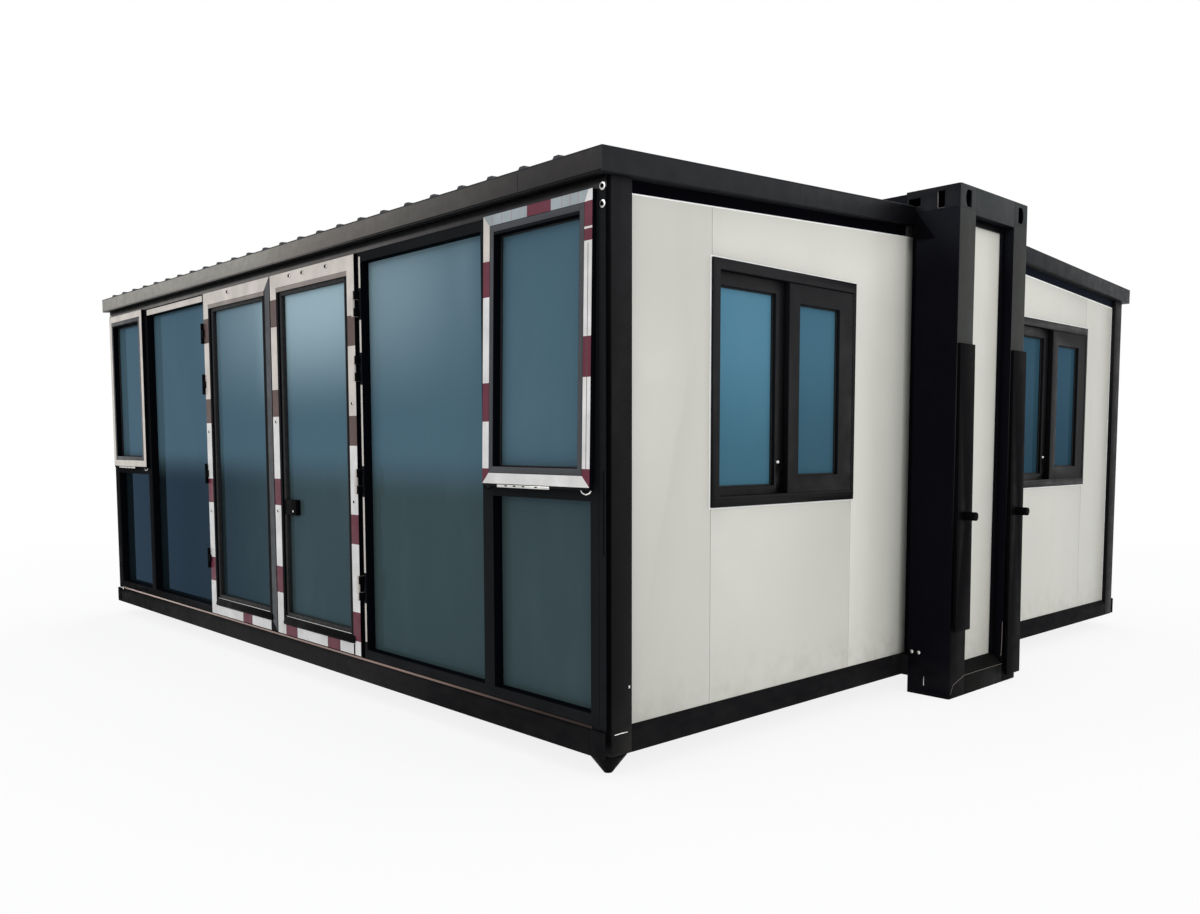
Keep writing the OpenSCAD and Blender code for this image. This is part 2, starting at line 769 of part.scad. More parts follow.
module rear_windows() color(steel_dark) at_rear_windows() sliding_window();
module rear_window_glass() color(glass_tint) at_rear_windows() sliding_glass();

end_frame();  // end_frame_right
left() end_frame();  // end_frame_left
corner_fittings();
end_panel();  // end_panel_right
left() end_panel();  // end_panel_left
leg_bars();  // leg_bars_right
left() leg_bars();  // leg_bars_left
core_top_beams();
core_roof();
core_base_frame();
core_floor();
floor_frame();  // front_floor_frame
floor_deck(face_y + base_proud - base_w);  // front_floor
roof_frame();  // front_roof_frame
wing_roof();  // front_roof
corner_posts();  // front_corner_posts
rear() floor_frame();  // rear_floor_frame
rear() floor_deck(wall_y - wall_t);  // rear_floor
rear() roof_frame();  // rear_roof_frame
rear() wing_roof();  // rear_roof
rear() corner_posts();  // rear_corner_posts
levelling_foot();
end_wall(front_win_y);  // end_wall_front_right
left() end_wall(front_win_y);  // end_wall_front_left
rear() end_wall(rear_win_y);  // end_wall_rear_right
rear() left() end_wall(rear_win_y);  // end_wall_rear_left
end_windows();  // end_windows_right
left() end_windows();  // end_windows_left
end_window_glass();  // end_window_glass_right
left() end_window_glass();  // end_window_glass_left
front_sill();
front_head_rail();
front_frame();  // front_frame_right
left() front_frame();  // front_frame_left
front_glass(sash_open);  // front_glass_right
left() front_glass(0);  // front_glass_left
awning_sash(sash_open);  // awning_sash_right
left() awning_sash(0);  // awning_sash_left
door_lining();
door_hinge_plates();
door_leaf();  // door_leaf_right
left() door_leaf();  // door_leaf_left
door_glass();  // door_glass_right
left() door_glass();  // door_glass_left
door_lock();
rear_wall();
rear_windows();
rear_window_glass();
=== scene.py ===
"""Looks of the expandable container office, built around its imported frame."""

import json
import math

import bmesh
import bpy
from mathutils import Matrix, Vector

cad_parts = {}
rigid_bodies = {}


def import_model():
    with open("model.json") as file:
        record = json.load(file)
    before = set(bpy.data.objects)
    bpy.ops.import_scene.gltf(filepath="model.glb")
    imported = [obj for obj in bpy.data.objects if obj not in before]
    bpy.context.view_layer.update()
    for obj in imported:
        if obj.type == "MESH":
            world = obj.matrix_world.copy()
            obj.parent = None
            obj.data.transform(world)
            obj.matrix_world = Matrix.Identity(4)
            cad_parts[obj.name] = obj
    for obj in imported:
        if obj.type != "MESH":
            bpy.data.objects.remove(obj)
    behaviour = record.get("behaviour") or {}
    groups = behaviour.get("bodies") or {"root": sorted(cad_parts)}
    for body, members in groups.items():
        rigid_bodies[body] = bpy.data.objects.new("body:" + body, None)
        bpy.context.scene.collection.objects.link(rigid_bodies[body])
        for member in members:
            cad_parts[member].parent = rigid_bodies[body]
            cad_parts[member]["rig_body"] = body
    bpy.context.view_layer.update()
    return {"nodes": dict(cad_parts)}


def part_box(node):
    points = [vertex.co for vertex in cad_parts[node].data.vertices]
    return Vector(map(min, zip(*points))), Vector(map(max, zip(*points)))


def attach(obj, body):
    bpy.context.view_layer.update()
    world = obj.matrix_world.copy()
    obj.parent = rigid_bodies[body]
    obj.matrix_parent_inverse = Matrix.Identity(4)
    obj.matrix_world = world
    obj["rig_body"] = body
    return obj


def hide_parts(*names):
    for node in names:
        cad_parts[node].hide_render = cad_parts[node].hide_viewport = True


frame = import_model()
MM = 0.001
SIDES = ("right", "left")


# ---- Places, read from the frame ----

def low(node):
    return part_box(node)[0]


def high(node):
    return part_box(node)[1]


# Sizes inside the nodes, which their boxes don't give
POST_W = 150 * MM            # width of the end frames' posts
ROOF_RISE = 118 * MM         # from the eave to the core
ROOF_FRAME_H = 86 * MM
WIN_HALF = 500 * MM          # half a sliding window's width
GLASS_BACK = 31 * MM         # from a leaf's face back to its glass
FILM_INSET = 13 * MM         # from a leaf's hinge side to its film

core_x, core_y = high("corner_fittings").xy
wing_x = high("front_corner_posts").x
wall_x = high("end_wall_front_right").x
roof_x = high("front_roof").x
eave_y = low("front_roof").y
eave_low = high("front_roof_frame").z - ROOF_RISE - ROOF_FRAME_H
fascia_y = low("front_roof_frame").y
face_y = low("front_frame_right").y
post_in_y = low("end_wall_front_right").y
head_z = high("front_frame_right").z
base_z = low("front_sill").z
leaf_low, leaf_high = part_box("door_leaf_right")
leaf_face = low("door_glass_right").y - GLASS_BACK
film_edge = leaf_high.x - FILM_INSET
window_low, window_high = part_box("end_windows_right")


# ---- Materials ----

def linear(code):
    """Linear RGBA of a six-digit colour code."""
    shares = [int(code[i:i + 2], 16) / 255 for i in (0, 2, 4)]
    return tuple(((s + 0.055) / 1.055) ** 2.4 if s > 0.04045 else s / 12.92
                 for s in shares) + (1.0,)


class Finish:
    """A node material around one Principled shader."""

    def __init__(self, name, **constants):
        self.material = bpy.data.materials.new(name)
        self.material.use_nodes = True
        self.tree = self.material.node_tree
        self.tree.nodes.clear()
        self.shader = self.node("ShaderNodeBsdfPrincipled")
        self.output = self.node("ShaderNodeOutputMaterial")
        self.link(self.shader.outputs[0], self.output.inputs["Surface"])
        for key, value in constants.items():
            self.shader.inputs[key.replace("_", " ")].default_value = value
        self.place = self.node("ShaderNodeTexCoord").outputs["Object"]

    def node(self, kind):
        return self.tree.nodes.new(kind)

    def link(self, a, b):
        self.tree.links.new(a, b)

    def feed(self, socket, value):
        if hasattr(value, "is_linked"):
            self.link(value, socket)
        else:
            socket.default_value = value

    def stretched(self, stretch):
        mapping = self.node("ShaderNodeMapping")
        mapping.inputs["Scale"].default_value = stretch
        self.link(self.place, mapping.inputs["Vector"])
        return mapping.outputs[0]

    def noise(self, scale, detail=3.0, stretch=(1, 1, 1), rough=0.5):
        node = self.node("ShaderNodeTexNoise")
        node.inputs["Scale"].default_value = scale
        node.inputs["Detail"].default_value = detail
        node.inputs["Roughness"].default_value = rough
        self.link(self.stretched(stretch), node.inputs["Vector"])
        return node.outputs["Fac"]

    def spread(self, value, from_low, from_high, to_low=0.0, to_high=1.0, smooth=False):
        node = self.node("ShaderNodeMapRange")
        if smooth:
            node.interpolation_type = "SMOOTHSTEP"
        self.link(value, node.inputs["Value"])
        for key, number in zip(("From Min", "From Max", "To Min", "To Max"),
                               (from_low, from_high, to_low, to_high)):
            node.inputs[key].default_value = number
        return node.outputs["Result"]

    def math(self, kind, a, b=0.0):
        node = self.node("ShaderNodeMath")
        node.operation = kind
        self.feed(node.inputs[0], a)
        self.feed(node.inputs[1], b)
        return node.outputs[0]

    def mix(self, factor, a, b):
        node = self.node("ShaderNodeMix")
        node.data_type = "RGBA"
        self.feed(node.inputs[0], factor)
        self.feed(node.inputs[6], a)
        self.feed(node.inputs[7], b)
        return node.outputs[2]

    def tinted(self, colour, factor):
        """A colour made darker or lighter by a factor."""
        if not hasattr(colour, "is_linked"):
            return shade(colour, factor)
        node = self.node("ShaderNodeVectorMath")
        node.operation = "SCALE"
        self.link(colour, node.inputs[0])
        node.inputs["Scale"].default_value = factor
        return node.outputs[0]

    def along(self, axis):
        node = self.node("ShaderNodeSeparateXYZ")
        self.link(self.place, node.inputs[0])
        return node.outputs[axis]

    def bump(self, height, strength, distance=1 * MM, under=None):
        node = self.node("ShaderNodeBump")
        node.inputs["Strength"].default_value = strength
        node.inputs["Distance"].default_value = distance
        self.link(height, node.inputs["Height"])
        if under is not None:
            self.link(under, node.inputs["Normal"])
        return node.outputs[0]

    def faded(self, tone, steps):
        """Turns a colour to each step's code between the step's two places on its axis."""
        for axis, start, end, code in steps:
            tone = self.mix(self.spread(self.along(axis), start, end, smooth=True), tone, linear(code))
        return tone

    def colour(self, value):
        self.feed(self.shader.inputs["Base Color"], value)

    def rough(self, value):
        self.feed(self.shader.inputs["Roughness"], value)

    def normal(self, value):
        self.link(value, self.shader.inputs["Normal"])


def shade(colour, factor):
    return tuple(min(1.0, c * factor) for c in colour[:3]) + (1.0,)


def blended(tree, share, first, second):
    """Two shaders mixed: only the first at share 0, only the second at 1."""
    blend = tree.nodes.new("ShaderNodeMixShader")
    if hasattr(share, "is_linked"):
        tree.links.new(share, blend.inputs[0])
    else:
        blend.inputs[0].default_value = share
    tree.links.new(first, blend.inputs[1])
    tree.links.new(second, blend.inputs[2])
    return blend.outputs[0]


def direct_rays(tree):
    """1 for rays from the camera, straight or by way of gloss or glass, and 0 for the rest."""
    path = tree.nodes.new("ShaderNodeLightPath")
    rays = path.outputs["Is Camera Ray"]
    for key in ("Is Glossy Ray", "Is Transmission Ray"):
        join = tree.nodes.new("ShaderNodeMath")
        join.operation = "MAXIMUM"
        tree.links.new(rays, join.inputs[0])
        tree.links.new(path.outputs[key], join.inputs[1])
        rays = join.outputs[0]
    return rays


DUST = linear("8f877a")
DUST_TOP = 0.35              # height that dust reaches on paint


def paint(name, code, rough=0.42, vary=0.16, dust=0.25, streak=(1, 1, 1), wear_and_highlight=0.35, shine=0.10,
          ior=1.5, fade=()):
    """Satin paint or powder coat: soft mottling, orange peel, edges lightened for wear and as a painted
    highlight, and dust low down.

    fade holds (axis, from, to, code) steps, in metres: shading by place that is part of the colour."""
    f = Finish(name, Specular_IOR_Level=shine, IOR=ior)
    tone = f.faded(linear(code), fade)
    cloud = f.noise(2.2, 5.0, streak)
    darker = f.tinted(tone, 1 - vary)
    tone = f.mix(f.spread(cloud, 0.3, 0.7), darker, f.tinted(tone, 1 + vary))
    scuff = f.noise(38.0, 6.0, (1, 1, 0.35), 0.65)
    tone = f.mix(f.spread(scuff, 0.62, 0.80, 0.0, 0.22), tone, f.tinted(tone, 1.5))
    # worn edges, lightened also as a painted highlight
    edge = f.spread(f.node("ShaderNodeNewGeometry").outputs["Pointiness"], 0.52, 0.62, 0.0, wear_and_highlight)
    edge = f.math("MULTIPLY", edge, f.spread(f.noise(24.0, 4.0), 0.35, 0.65))
    tone = f.mix(edge, tone, f.tinted(tone, 2.0))
    low_down = f.spread(f.along("Z"), 0.0, DUST_TOP, 1.0, 0.0, smooth=True)
    patches = f.spread(f.noise(9.0, 6.0, (1, 1, 2)), 0.35, 0.75, 0.0, dust)
    f.colour(f.mix(f.math("MULTIPLY", low_down, patches), tone, DUST))
    f.rough(f.spread(f.noise(14.0, 4.0), 0.3, 0.7, rough - 0.07, rough + 0.10))
    f.normal(f.bump(f.noise(420.0, 2.0), 0.10, 0.4 * MM))
    return f.material


def sandwich_panel():
    """Off-white coated sheet: faint waviness, rain streaks and grime at its foot."""
    base = linear("c8c7be")
    f = Finish("panel_coated_white")
    cloud = f.noise(0.9, 4.0, (1, 1, 0.35))
    tone = f.mix(f.spread(cloud, 0.3, 0.7), shade(base, 0.95), shade(base, 1.02))
    rain = f.noise(7.0, 5.0, (1, 1, 0.06))
    tone = f.mix(f.spread(rain, 0.55, 0.85, 0.0, 0.10), tone, linear("a39f92"))
    # shading by place: darker towards the eaves and on the core's panels, paler beside the core
    # and under the roof
    across = f.math("ABSOLUTE", f.along("Y"))
    for start, end, factor in ((1.2, 2.2, 0.93), (1.2, 0.6, 1.12), (0.62, 0.36, 1.2),
                               (0.355, 0.335, 0.775)):
        tone = f.mix(f.spread(across, start, end, smooth=True), tone, f.tinted(tone, factor))
    tone = f.mix(f.spread(f.along("Z"), 1.85, 2.2, smooth=True), tone, f.tinted(tone, 1.10))
    foot = f.spread(f.along("Z"), 0.18, 0.42, 1.0, 0.0, smooth=True)
    foot = f.math("MULTIPLY", foot, f.spread(f.noise(16.0, 6.0), 0.4, 0.8, 0.0, 0.30))
    f.colour(f.mix(foot, tone, linear("8d887a")))
    f.rough(f.spread(f.noise(6.0, 3.0), 0.3, 0.7, 0.34, 0.46))
    wavy = f.bump(f.noise(1.7, 2.0, (1, 1, 0.25)), 0.25, 6 * MM)
    f.normal(f.bump(f.noise(300.0, 2.0), 0.08, 0.3 * MM, wavy))
    return f.material


def glazing(name, low_code, high_code, pale=0.0, split=(0.98, 1.22)):
    """Tinted, coated double glazing with painted reflection: low_code below split, high_code above it, and a
    pale painted reflection by the doors.
    """
    f = Finish(name, IOR=1.04, Specular_IOR_Level=0.3)
    rise = f.spread(f.along("Z"), split[0], split[1], smooth=True)
    tint = f.mix(rise, linear(low_code), linear(high_code))
    # painted reflection: a soft pale patch high up near the doors
    sky = f.spread(f.along("Z"), 1.35, 2.0, 0.0, pale, smooth=True)
    near = f.spread(f.math("ABSOLUTE", f.math("SUBTRACT", f.along("X"), 0.4)), 1.7, 0.7, smooth=True)
    cloud = f.spread(f.noise(1.15, 2.0, (1.3, 1.3, 0.42), 0.4), 0.42, 0.62, 0.45, 1.0, smooth=True)
    tint = f.mix(f.math("MULTIPLY", f.math("MULTIPLY", sky, near), cloud), tint, linear("b3cdd5"))
    smear = f.noise(3.0, 6.0, (1, 1, 0.4), 0.6)
    tint = f.mix(f.spread(smear, 0.5, 0.8, 0.0, 0.06), tint, linear("8fa3a6"))
    # painted reflection and shade: darker towards -X, most of all low down, on the rear windows and on the
    # end windows' inner panes
    tint = f.mix(f.spread(f.along("X"), 0.6, -1.0, 0.0, 0.18, smooth=True), tint, linear("10181e"))
    low_down = f.math("MULTIPLY", f.math("SUBTRACT", 1.0, rise),
                      f.spread(f.along("X"), 0.5, -1.5, 0.0, 0.93, smooth=True))
    tint = f.mix(low_down, tint, linear("0d151b"))
    tint = f.mix(f.spread(f.along("Y"), 0.3, 0.7, 0.0, 0.55), tint, linear("0d1826"))
    f.colour(f.mix(f.spread(f.along("Y"), -1.36, -1.16, 0.0, 0.38, smooth=True), tint, linear("14222b")))
    rough = f.spread(smear, 0.4, 0.8, 0.03, 0.10)
    f.rough(rough)
    # bluish sheen of the coating, stronger at a glance, on glass that lets little light through
    sheen = f.node("ShaderNodeBsdfAnisotropic")
    sheen.inputs["Color"].default_value = linear("5d8cb5")
    f.link(rough, sheen.inputs["Roughness"])
    glance = f.node("ShaderNodeFresnel")
    glance.inputs["IOR"].default_value = 1.2
    coated = blended(f.tree, glance.outputs[0], f.shader.outputs[0], sheen.outputs[0])
    clear = f.node("ShaderNodeBsdfTransparent")
    clear.inputs[0].default_value = linear("8fb0b4")
    f.link(blended(f.tree, 0.97, clear.outputs[0], coated), f.output.inputs["Surface"])
    return f.material


def film(name, code, rough=0.38):
    """Thin protective film on aluminium: small wrinkles, scuffs and dust."""
    base = linear(code)
    f = Finish(name, Coat_Weight=0.04, Coat_Roughness=0.25, Specular_IOR_Level=0.12)
    tone = f.mix(f.spread(f.noise(9.0, 5.0), 0.3, 0.7), shade(base, 0.86), shade(base, 1.08))
    scuff = f.spread(f.noise(60.0, 6.0, (1, 1, 0.3), 0.7), 0.62, 0.80, 0.0, 0.30)
    f.colour(f.mix(scuff, tone, f.tinted(tone, 1.35)))
    f.rough(f.spread(f.noise(22.0, 4.0), 0.3, 0.7, rough - 0.08, rough + 0.15))
    crease = f.bump(f.noise(26.0, 3.0, (1, 1, 0.25)), 0.35, 1.2 * MM)
    f.normal(f.bump(f.noise(160.0, 3.0), 0.15, 0.4 * MM, crease))
    return f.material


def bare_metal(name, code, rough=0.3, brush=(1, 1, 30), fade=()):
    """Bare or plated metal with fine brushing and a few dull spots."""
    base = linear(code)
    f = Finish(name, Metallic=1.0)
    tone = f.mix(f.spread(f.noise(12.0, 5.0), 0.3, 0.7), shade(base, 0.8), shade(base, 1.1))
    tone = f.faded(tone, fade)
    f.colour(f.mix(f.spread(f.noise(45.0, 5.0), 0.6, 0.8, 0.0, 0.4), tone, f.tinted(tone, 0.5)))
    f.rough(f.spread(f.noise(30.0, 4.0), 0.3, 0.7, rough - 0.08, rough + 0.15))
    f.normal(f.bump(f.noise(60.0, 3.0, brush), 0.12, 0.3 * MM))
    return f.material


def rubber():
    f = Finish("rubber_black", Specular_IOR_Level=0.3)
    f.colour(f.mix(f.spread(f.noise(30.0, 5.0), 0.35, 0.75), linear("0c0c0d"), linear("1d1d1e")))
    f.rough(f.spread(f.noise(50.0, 3.0), 0.3, 0.7, 0.6, 0.8))
    f.normal(f.bump(f.noise(500.0, 2.0), 0.2, 0.3 * MM))
    return f.material


def floor_boards():
    """Grey-brown floor boards running along the building, with grain."""
    f = Finish("floor_boards")
    plank = f.node("ShaderNodeTexBrick")
    plank.offset = 0.37
    plank.inputs["Scale"].default_value = 1.0
    plank.inputs["Brick Width"].default_value = 1.2
    plank.inputs["Row Height"].default_value = 0.19
    plank.inputs["Mortar Size"].default_value = 0.0025
    plank.inputs["Color1"].default_value = linear("8d857a")
    plank.inputs["Color2"].default_value = linear("7a7267")
    plank.inputs["Mortar"].default_value = linear("3f3a35")
    f.link(f.place, plank.inputs["Vector"])
    grain = f.noise(9.0, 8.0, (0.25, 6, 1), 0.65)
    tone = f.mix(f.spread(grain, 0.4, 0.7, 0.0, 0.45), plank.outputs["Color"], linear("5d564d"))
    f.colour(tone)
    f.rough(f.spread(grain, 0.3, 0.7, 0.42, 0.58))
    seams = f.bump(plank.outputs["Fac"], 0.4, -0.8 * MM)
    f.normal(f.bump(grain, 0.1, 0.5 * MM, seams))
    return f.material


# painted shade: the end faces turn black low down, and paler on the header
STEEL_END = paint("steel_grey_end", "08080a", vary=0.07, dust=0.02, wear_and_highlight=0.2, shine=0.012,
                  fade=(("Z", 0.5, 1.9, "3b3c3a"), ("Z", 2.28, 2.42, "3d3f40")))
END_RAIL = paint("end_rail_paint", "131313", vary=0.12, dust=0.02, wear_and_highlight=0.3, shine=0.012)
# painted shade: a darker copy of the end frames' steel for their sides, reveals and soffits and the core's
# top beams, a little paler high up
SHADED_STEEL = paint("steel_side_painted_shade", "0b0b11", rough=0.45, vary=0.10, dust=0.02, wear_and_highlight=0.2, shine=0.02,
                   fade=(("Z", 2.05, 2.3, "17181d"),))
# painted shade: the corner fittings' sides and soffits, darker than their ends
SHADED_FITTING_SIDE = paint("fitting_side_painted_shade", "17181c", rough=0.42, vary=0.12, wear_and_highlight=0.2, shine=0.05)
BLACK = paint("powder_black", "08080a", rough=0.42, vary=0.12, wear_and_highlight=0.3, dust=0.02, shine=0.012)
# painted shade: the frames' sideways faces in the reveals, darker than their fronts
SHADED_REVEAL = paint("reveal_painted_shade", "07080c", rough=0.45, vary=0.10, wear_and_highlight=0.2, dust=0.02, shine=0.05, ior=1.1)
# painted shade: the charcoal frames turn darker towards -X
CHARCOAL = paint("powder_charcoal", "1c1d1f", rough=0.42, vary=0.10, dust=0.05, shine=0.05, ior=1.1,
                 fade=(("X", -1.0, -2.5, "050508"),))
# paler towards -X: dust and a painted sheen; black along the top: painted shadow under the roof
HEAD_RAIL = paint("head_rail_dust_and_painted_light", "6e6b68", rough=0.5, vary=0.12, dust=0.0, shine=0.06,
                  streak=(1.5, 1, 6), fade=(("X", 0.0, 2.1, "3b393a"), ("Z", 2.166, 2.181, "050506")))
# painted shade: the channel under the eaves, paler on the rear wing
CHANNEL = paint("channel_painted_shade", "06060a", rough=0.45, vary=0.10, dust=0.0, wear_and_highlight=0.15, shine=0.05, ior=1.1,
                fade=(("Y", 0.4, 0.7, "171a22"),))
# painted shadow: the gable edges turn black near the core
ROOF_EDGE = paint("roof_edge_paint", "1e1f21", rough=0.48, vary=0.05, shine=0.08,
                  fade=(("Y", -0.80, -0.56, "07070b"), ("Y", 0.56, 0.80, "1f2022")))
# paler towards -X: dust and a painted sheen
FASCIA = paint("roof_fascia_dust_and_painted_sheen", "8e8b84", rough=0.55, vary=0.05, dust=0.0, shine=0.06,
               streak=(1.5, 1, 5), fade=(("X", -0.5, 0.95, "686460"), ("X", 0.7, 1.75, "52504d"),
                                         ("X", 1.5, 2.45, "333131")))
# painted highlight and dust along the fascia's foot, turning black towards +X as painted shade
FASCIA_LINE = paint("roof_fascia_dust_and_painted_highlight", "5a5455", rough=0.5, vary=0.12, dust=0.0, shine=0.06,
                    fade=(("X", 0.1, 1.3, "050505"),))
ROOF_SHEET = paint("roof_sheet_paint", "35363a", rough=0.5, vary=0.15, streak=(6, 0.6, 1))
# painted shading: paler towards the middle, darker towards -X
BASE_STEEL = paint("base_steel_paint", "161618", rough=0.45, vary=0.14, dust=0.03, shine=0.05, ior=1.1,
                   fade=(("X", 1.9, 0.7, "262627"), ("X", -0.6, -2.6, "040405")))
# painted shading: paler towards the top
POST_STEEL = paint("post_paint", "0c0c0d", rough=0.45, vary=0.16, streak=(8, 8, 0.5), dust=0.06,
                   shine=0.06, fade=(("Z", 1.2, 2.2, "18181a"),))
# painted shading: paler higher up
WINDOW_BAR = paint("window_powder_coat", "09090a", rough=0.38, vary=0.08, dust=0.0, shine=0.08,
                   fade=(("Z", 0.95, 1.8, "161618"),))
PANEL = sandwich_panel()
GLASS = glazing("glass_tinted", "3c4c4e", "4d6875", 0.75)
WINDOW_GLASS = glazing("glass_window_blue", "426b7d", "548399", 0.0, (1.15, 1.75))
SEALANT = film("sealant_white", "fbfbf7", 0.5)
# painted shading: paler towards -X, darker towards +X
SILL = bare_metal("sill_bright", "c6b0a7", 0.35, (30, 1, 1),
                  (("X", -2.2, -0.3, "917c74"), ("X", 0.9, 2.4, "352d2a")))
BOARD = floor_boards()
RUBBER = rubber()
SILVER = film("film_silver", "d0c8c0", 0.36)
WHITE = film("film_white", "dcdad8", 0.34)
GREY_FILM = film("film_grey", "9aa3a6", 0.36)
MAROON = film("film_maroon", "632838", 0.34)
PINK = film("film_pink_edge", "a35a68", 0.34)
BROWN = film("film_brown", "5a4844", 0.40)
CHROME = bare_metal("chrome_dull", "d0cecb", 0.22)
# a film lip, and light rods that are painted highlights on the end frame's folds
LIP_AND_HIGHLIGHT = film("lip_and_painted_highlight", "8a817b", 0.42)
STILE_GREY = paint("stile_grey", "404245", rough=0.4, vary=0.08, dust=0.0, shine=0.10)


# ---- Making pieces ----

SMOOTH_BELOW = math.radians(40)
BEVEL_ABOVE = math.radians(28)


def finished(name, bm, materials, body):
    """Makes an object of bm that rides on body, with its flat faces flat and its curves smooth."""
    mesh = bpy.data.meshes.new(name)
    bm.normal_update()
    bm.to_mesh(mesh)
    bm.free()
    for material in materials:
        mesh.materials.append(material)
    mesh.polygons.foreach_set("use_smooth", [True] * len(mesh.polygons))
    mesh.set_sharp_from_angle(angle=SMOOTH_BELOW)
    piece = bpy.data.objects.new(name, mesh)
    bpy.context.scene.collection.objects.link(piece)
    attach(piece, body)
    return piece


def rounded(bm, width, segments=2, chosen=None):
    """Rounds the sharp edges of bm, or those of them that chosen says."""
    sharp = [e for e in bm.edges if len(e.link_faces) == 2 and e.is_manifold
             and e.calc_face_angle(0) > BEVEL_ABOVE and (chosen is None or chosen(e))]
    bmesh.ops.bevel(bm, geom=sharp, offset=width, offset_type="OFFSET", segments=segments,
                    profile=0.5, affect="EDGES", clamp_overlap=False)


def merge(target, bm):
    """Adds bm to target, and frees it."""
    mesh = bpy.data.meshes.new("part")
    bm.to_mesh(mesh)
    bm.free()
    target.from_mesh(mesh)
    bpy.data.meshes.remove(mesh)


def placed_copy(bm, place):
    """A copy of bm at another place, with its faces outwards also where the place mirrors it."""
    copy = bm.copy()
    copy.transform(place)
    if place.determinant() < 0:
        bmesh.ops.reverse_faces(copy, faces=copy.faces)
    return copy


def facing(place, direction):
    """The matrix that turns Z to a direction and moves the origin to a place."""
    turn = Vector(direction).to_track_quat("Z", "Y").to_matrix().to_4x4()
    turn.translation = Vector(place)
    return turn


def circle(radius, height, sides):
    angles = [2 * math.pi * i / sides for i in range(sides)]
    return [Vector((radius * math.cos(a), radius * math.sin(a), height)) for a in angles]


def dressed(node, width, materials, pick=None, first=None):
    """A copy of a CAD node with rounded edges and its own finishes, which stands for the node.

    pick gives a face's place in materials from its middle and normal. first is a larger width and
    the edges that get it. No point leaves the node's box."""
    source = frame["nodes"][node]
    bm = bmesh.new()
    bm.from_mesh(source.data)
    bmesh.ops.remove_doubles(bm, verts=bm.verts, dist=0.01 * MM)
    bmesh.ops.dissolve_limit(bm, angle_limit=math.radians(1.0), use_dissolve_boundaries=False,
                             verts=bm.verts, edges=bm.edges)
    if first is not None:
        rounded(bm, first[0], 4, first[1])
    rounded(bm, width)
    box_low, box_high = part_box(node)
    for vert in bm.verts:
        vert.co = [min(max(c, a), b) for c, a, b in zip(vert.co, box_low, box_high)]
    bm.normal_update()
    for face in bm.faces:
        face.material_index = pick(face.calc_center_median(), face.normal) if pick else 0
    piece = finished(node + "_dressed", bm, materials, source["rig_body"])
    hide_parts(node)
    return piece


def is_upright(edge):
    a, b = edge.verts
    return abs(a.co.z - b.co.z) > 0.9 * (a.co - b.co).length


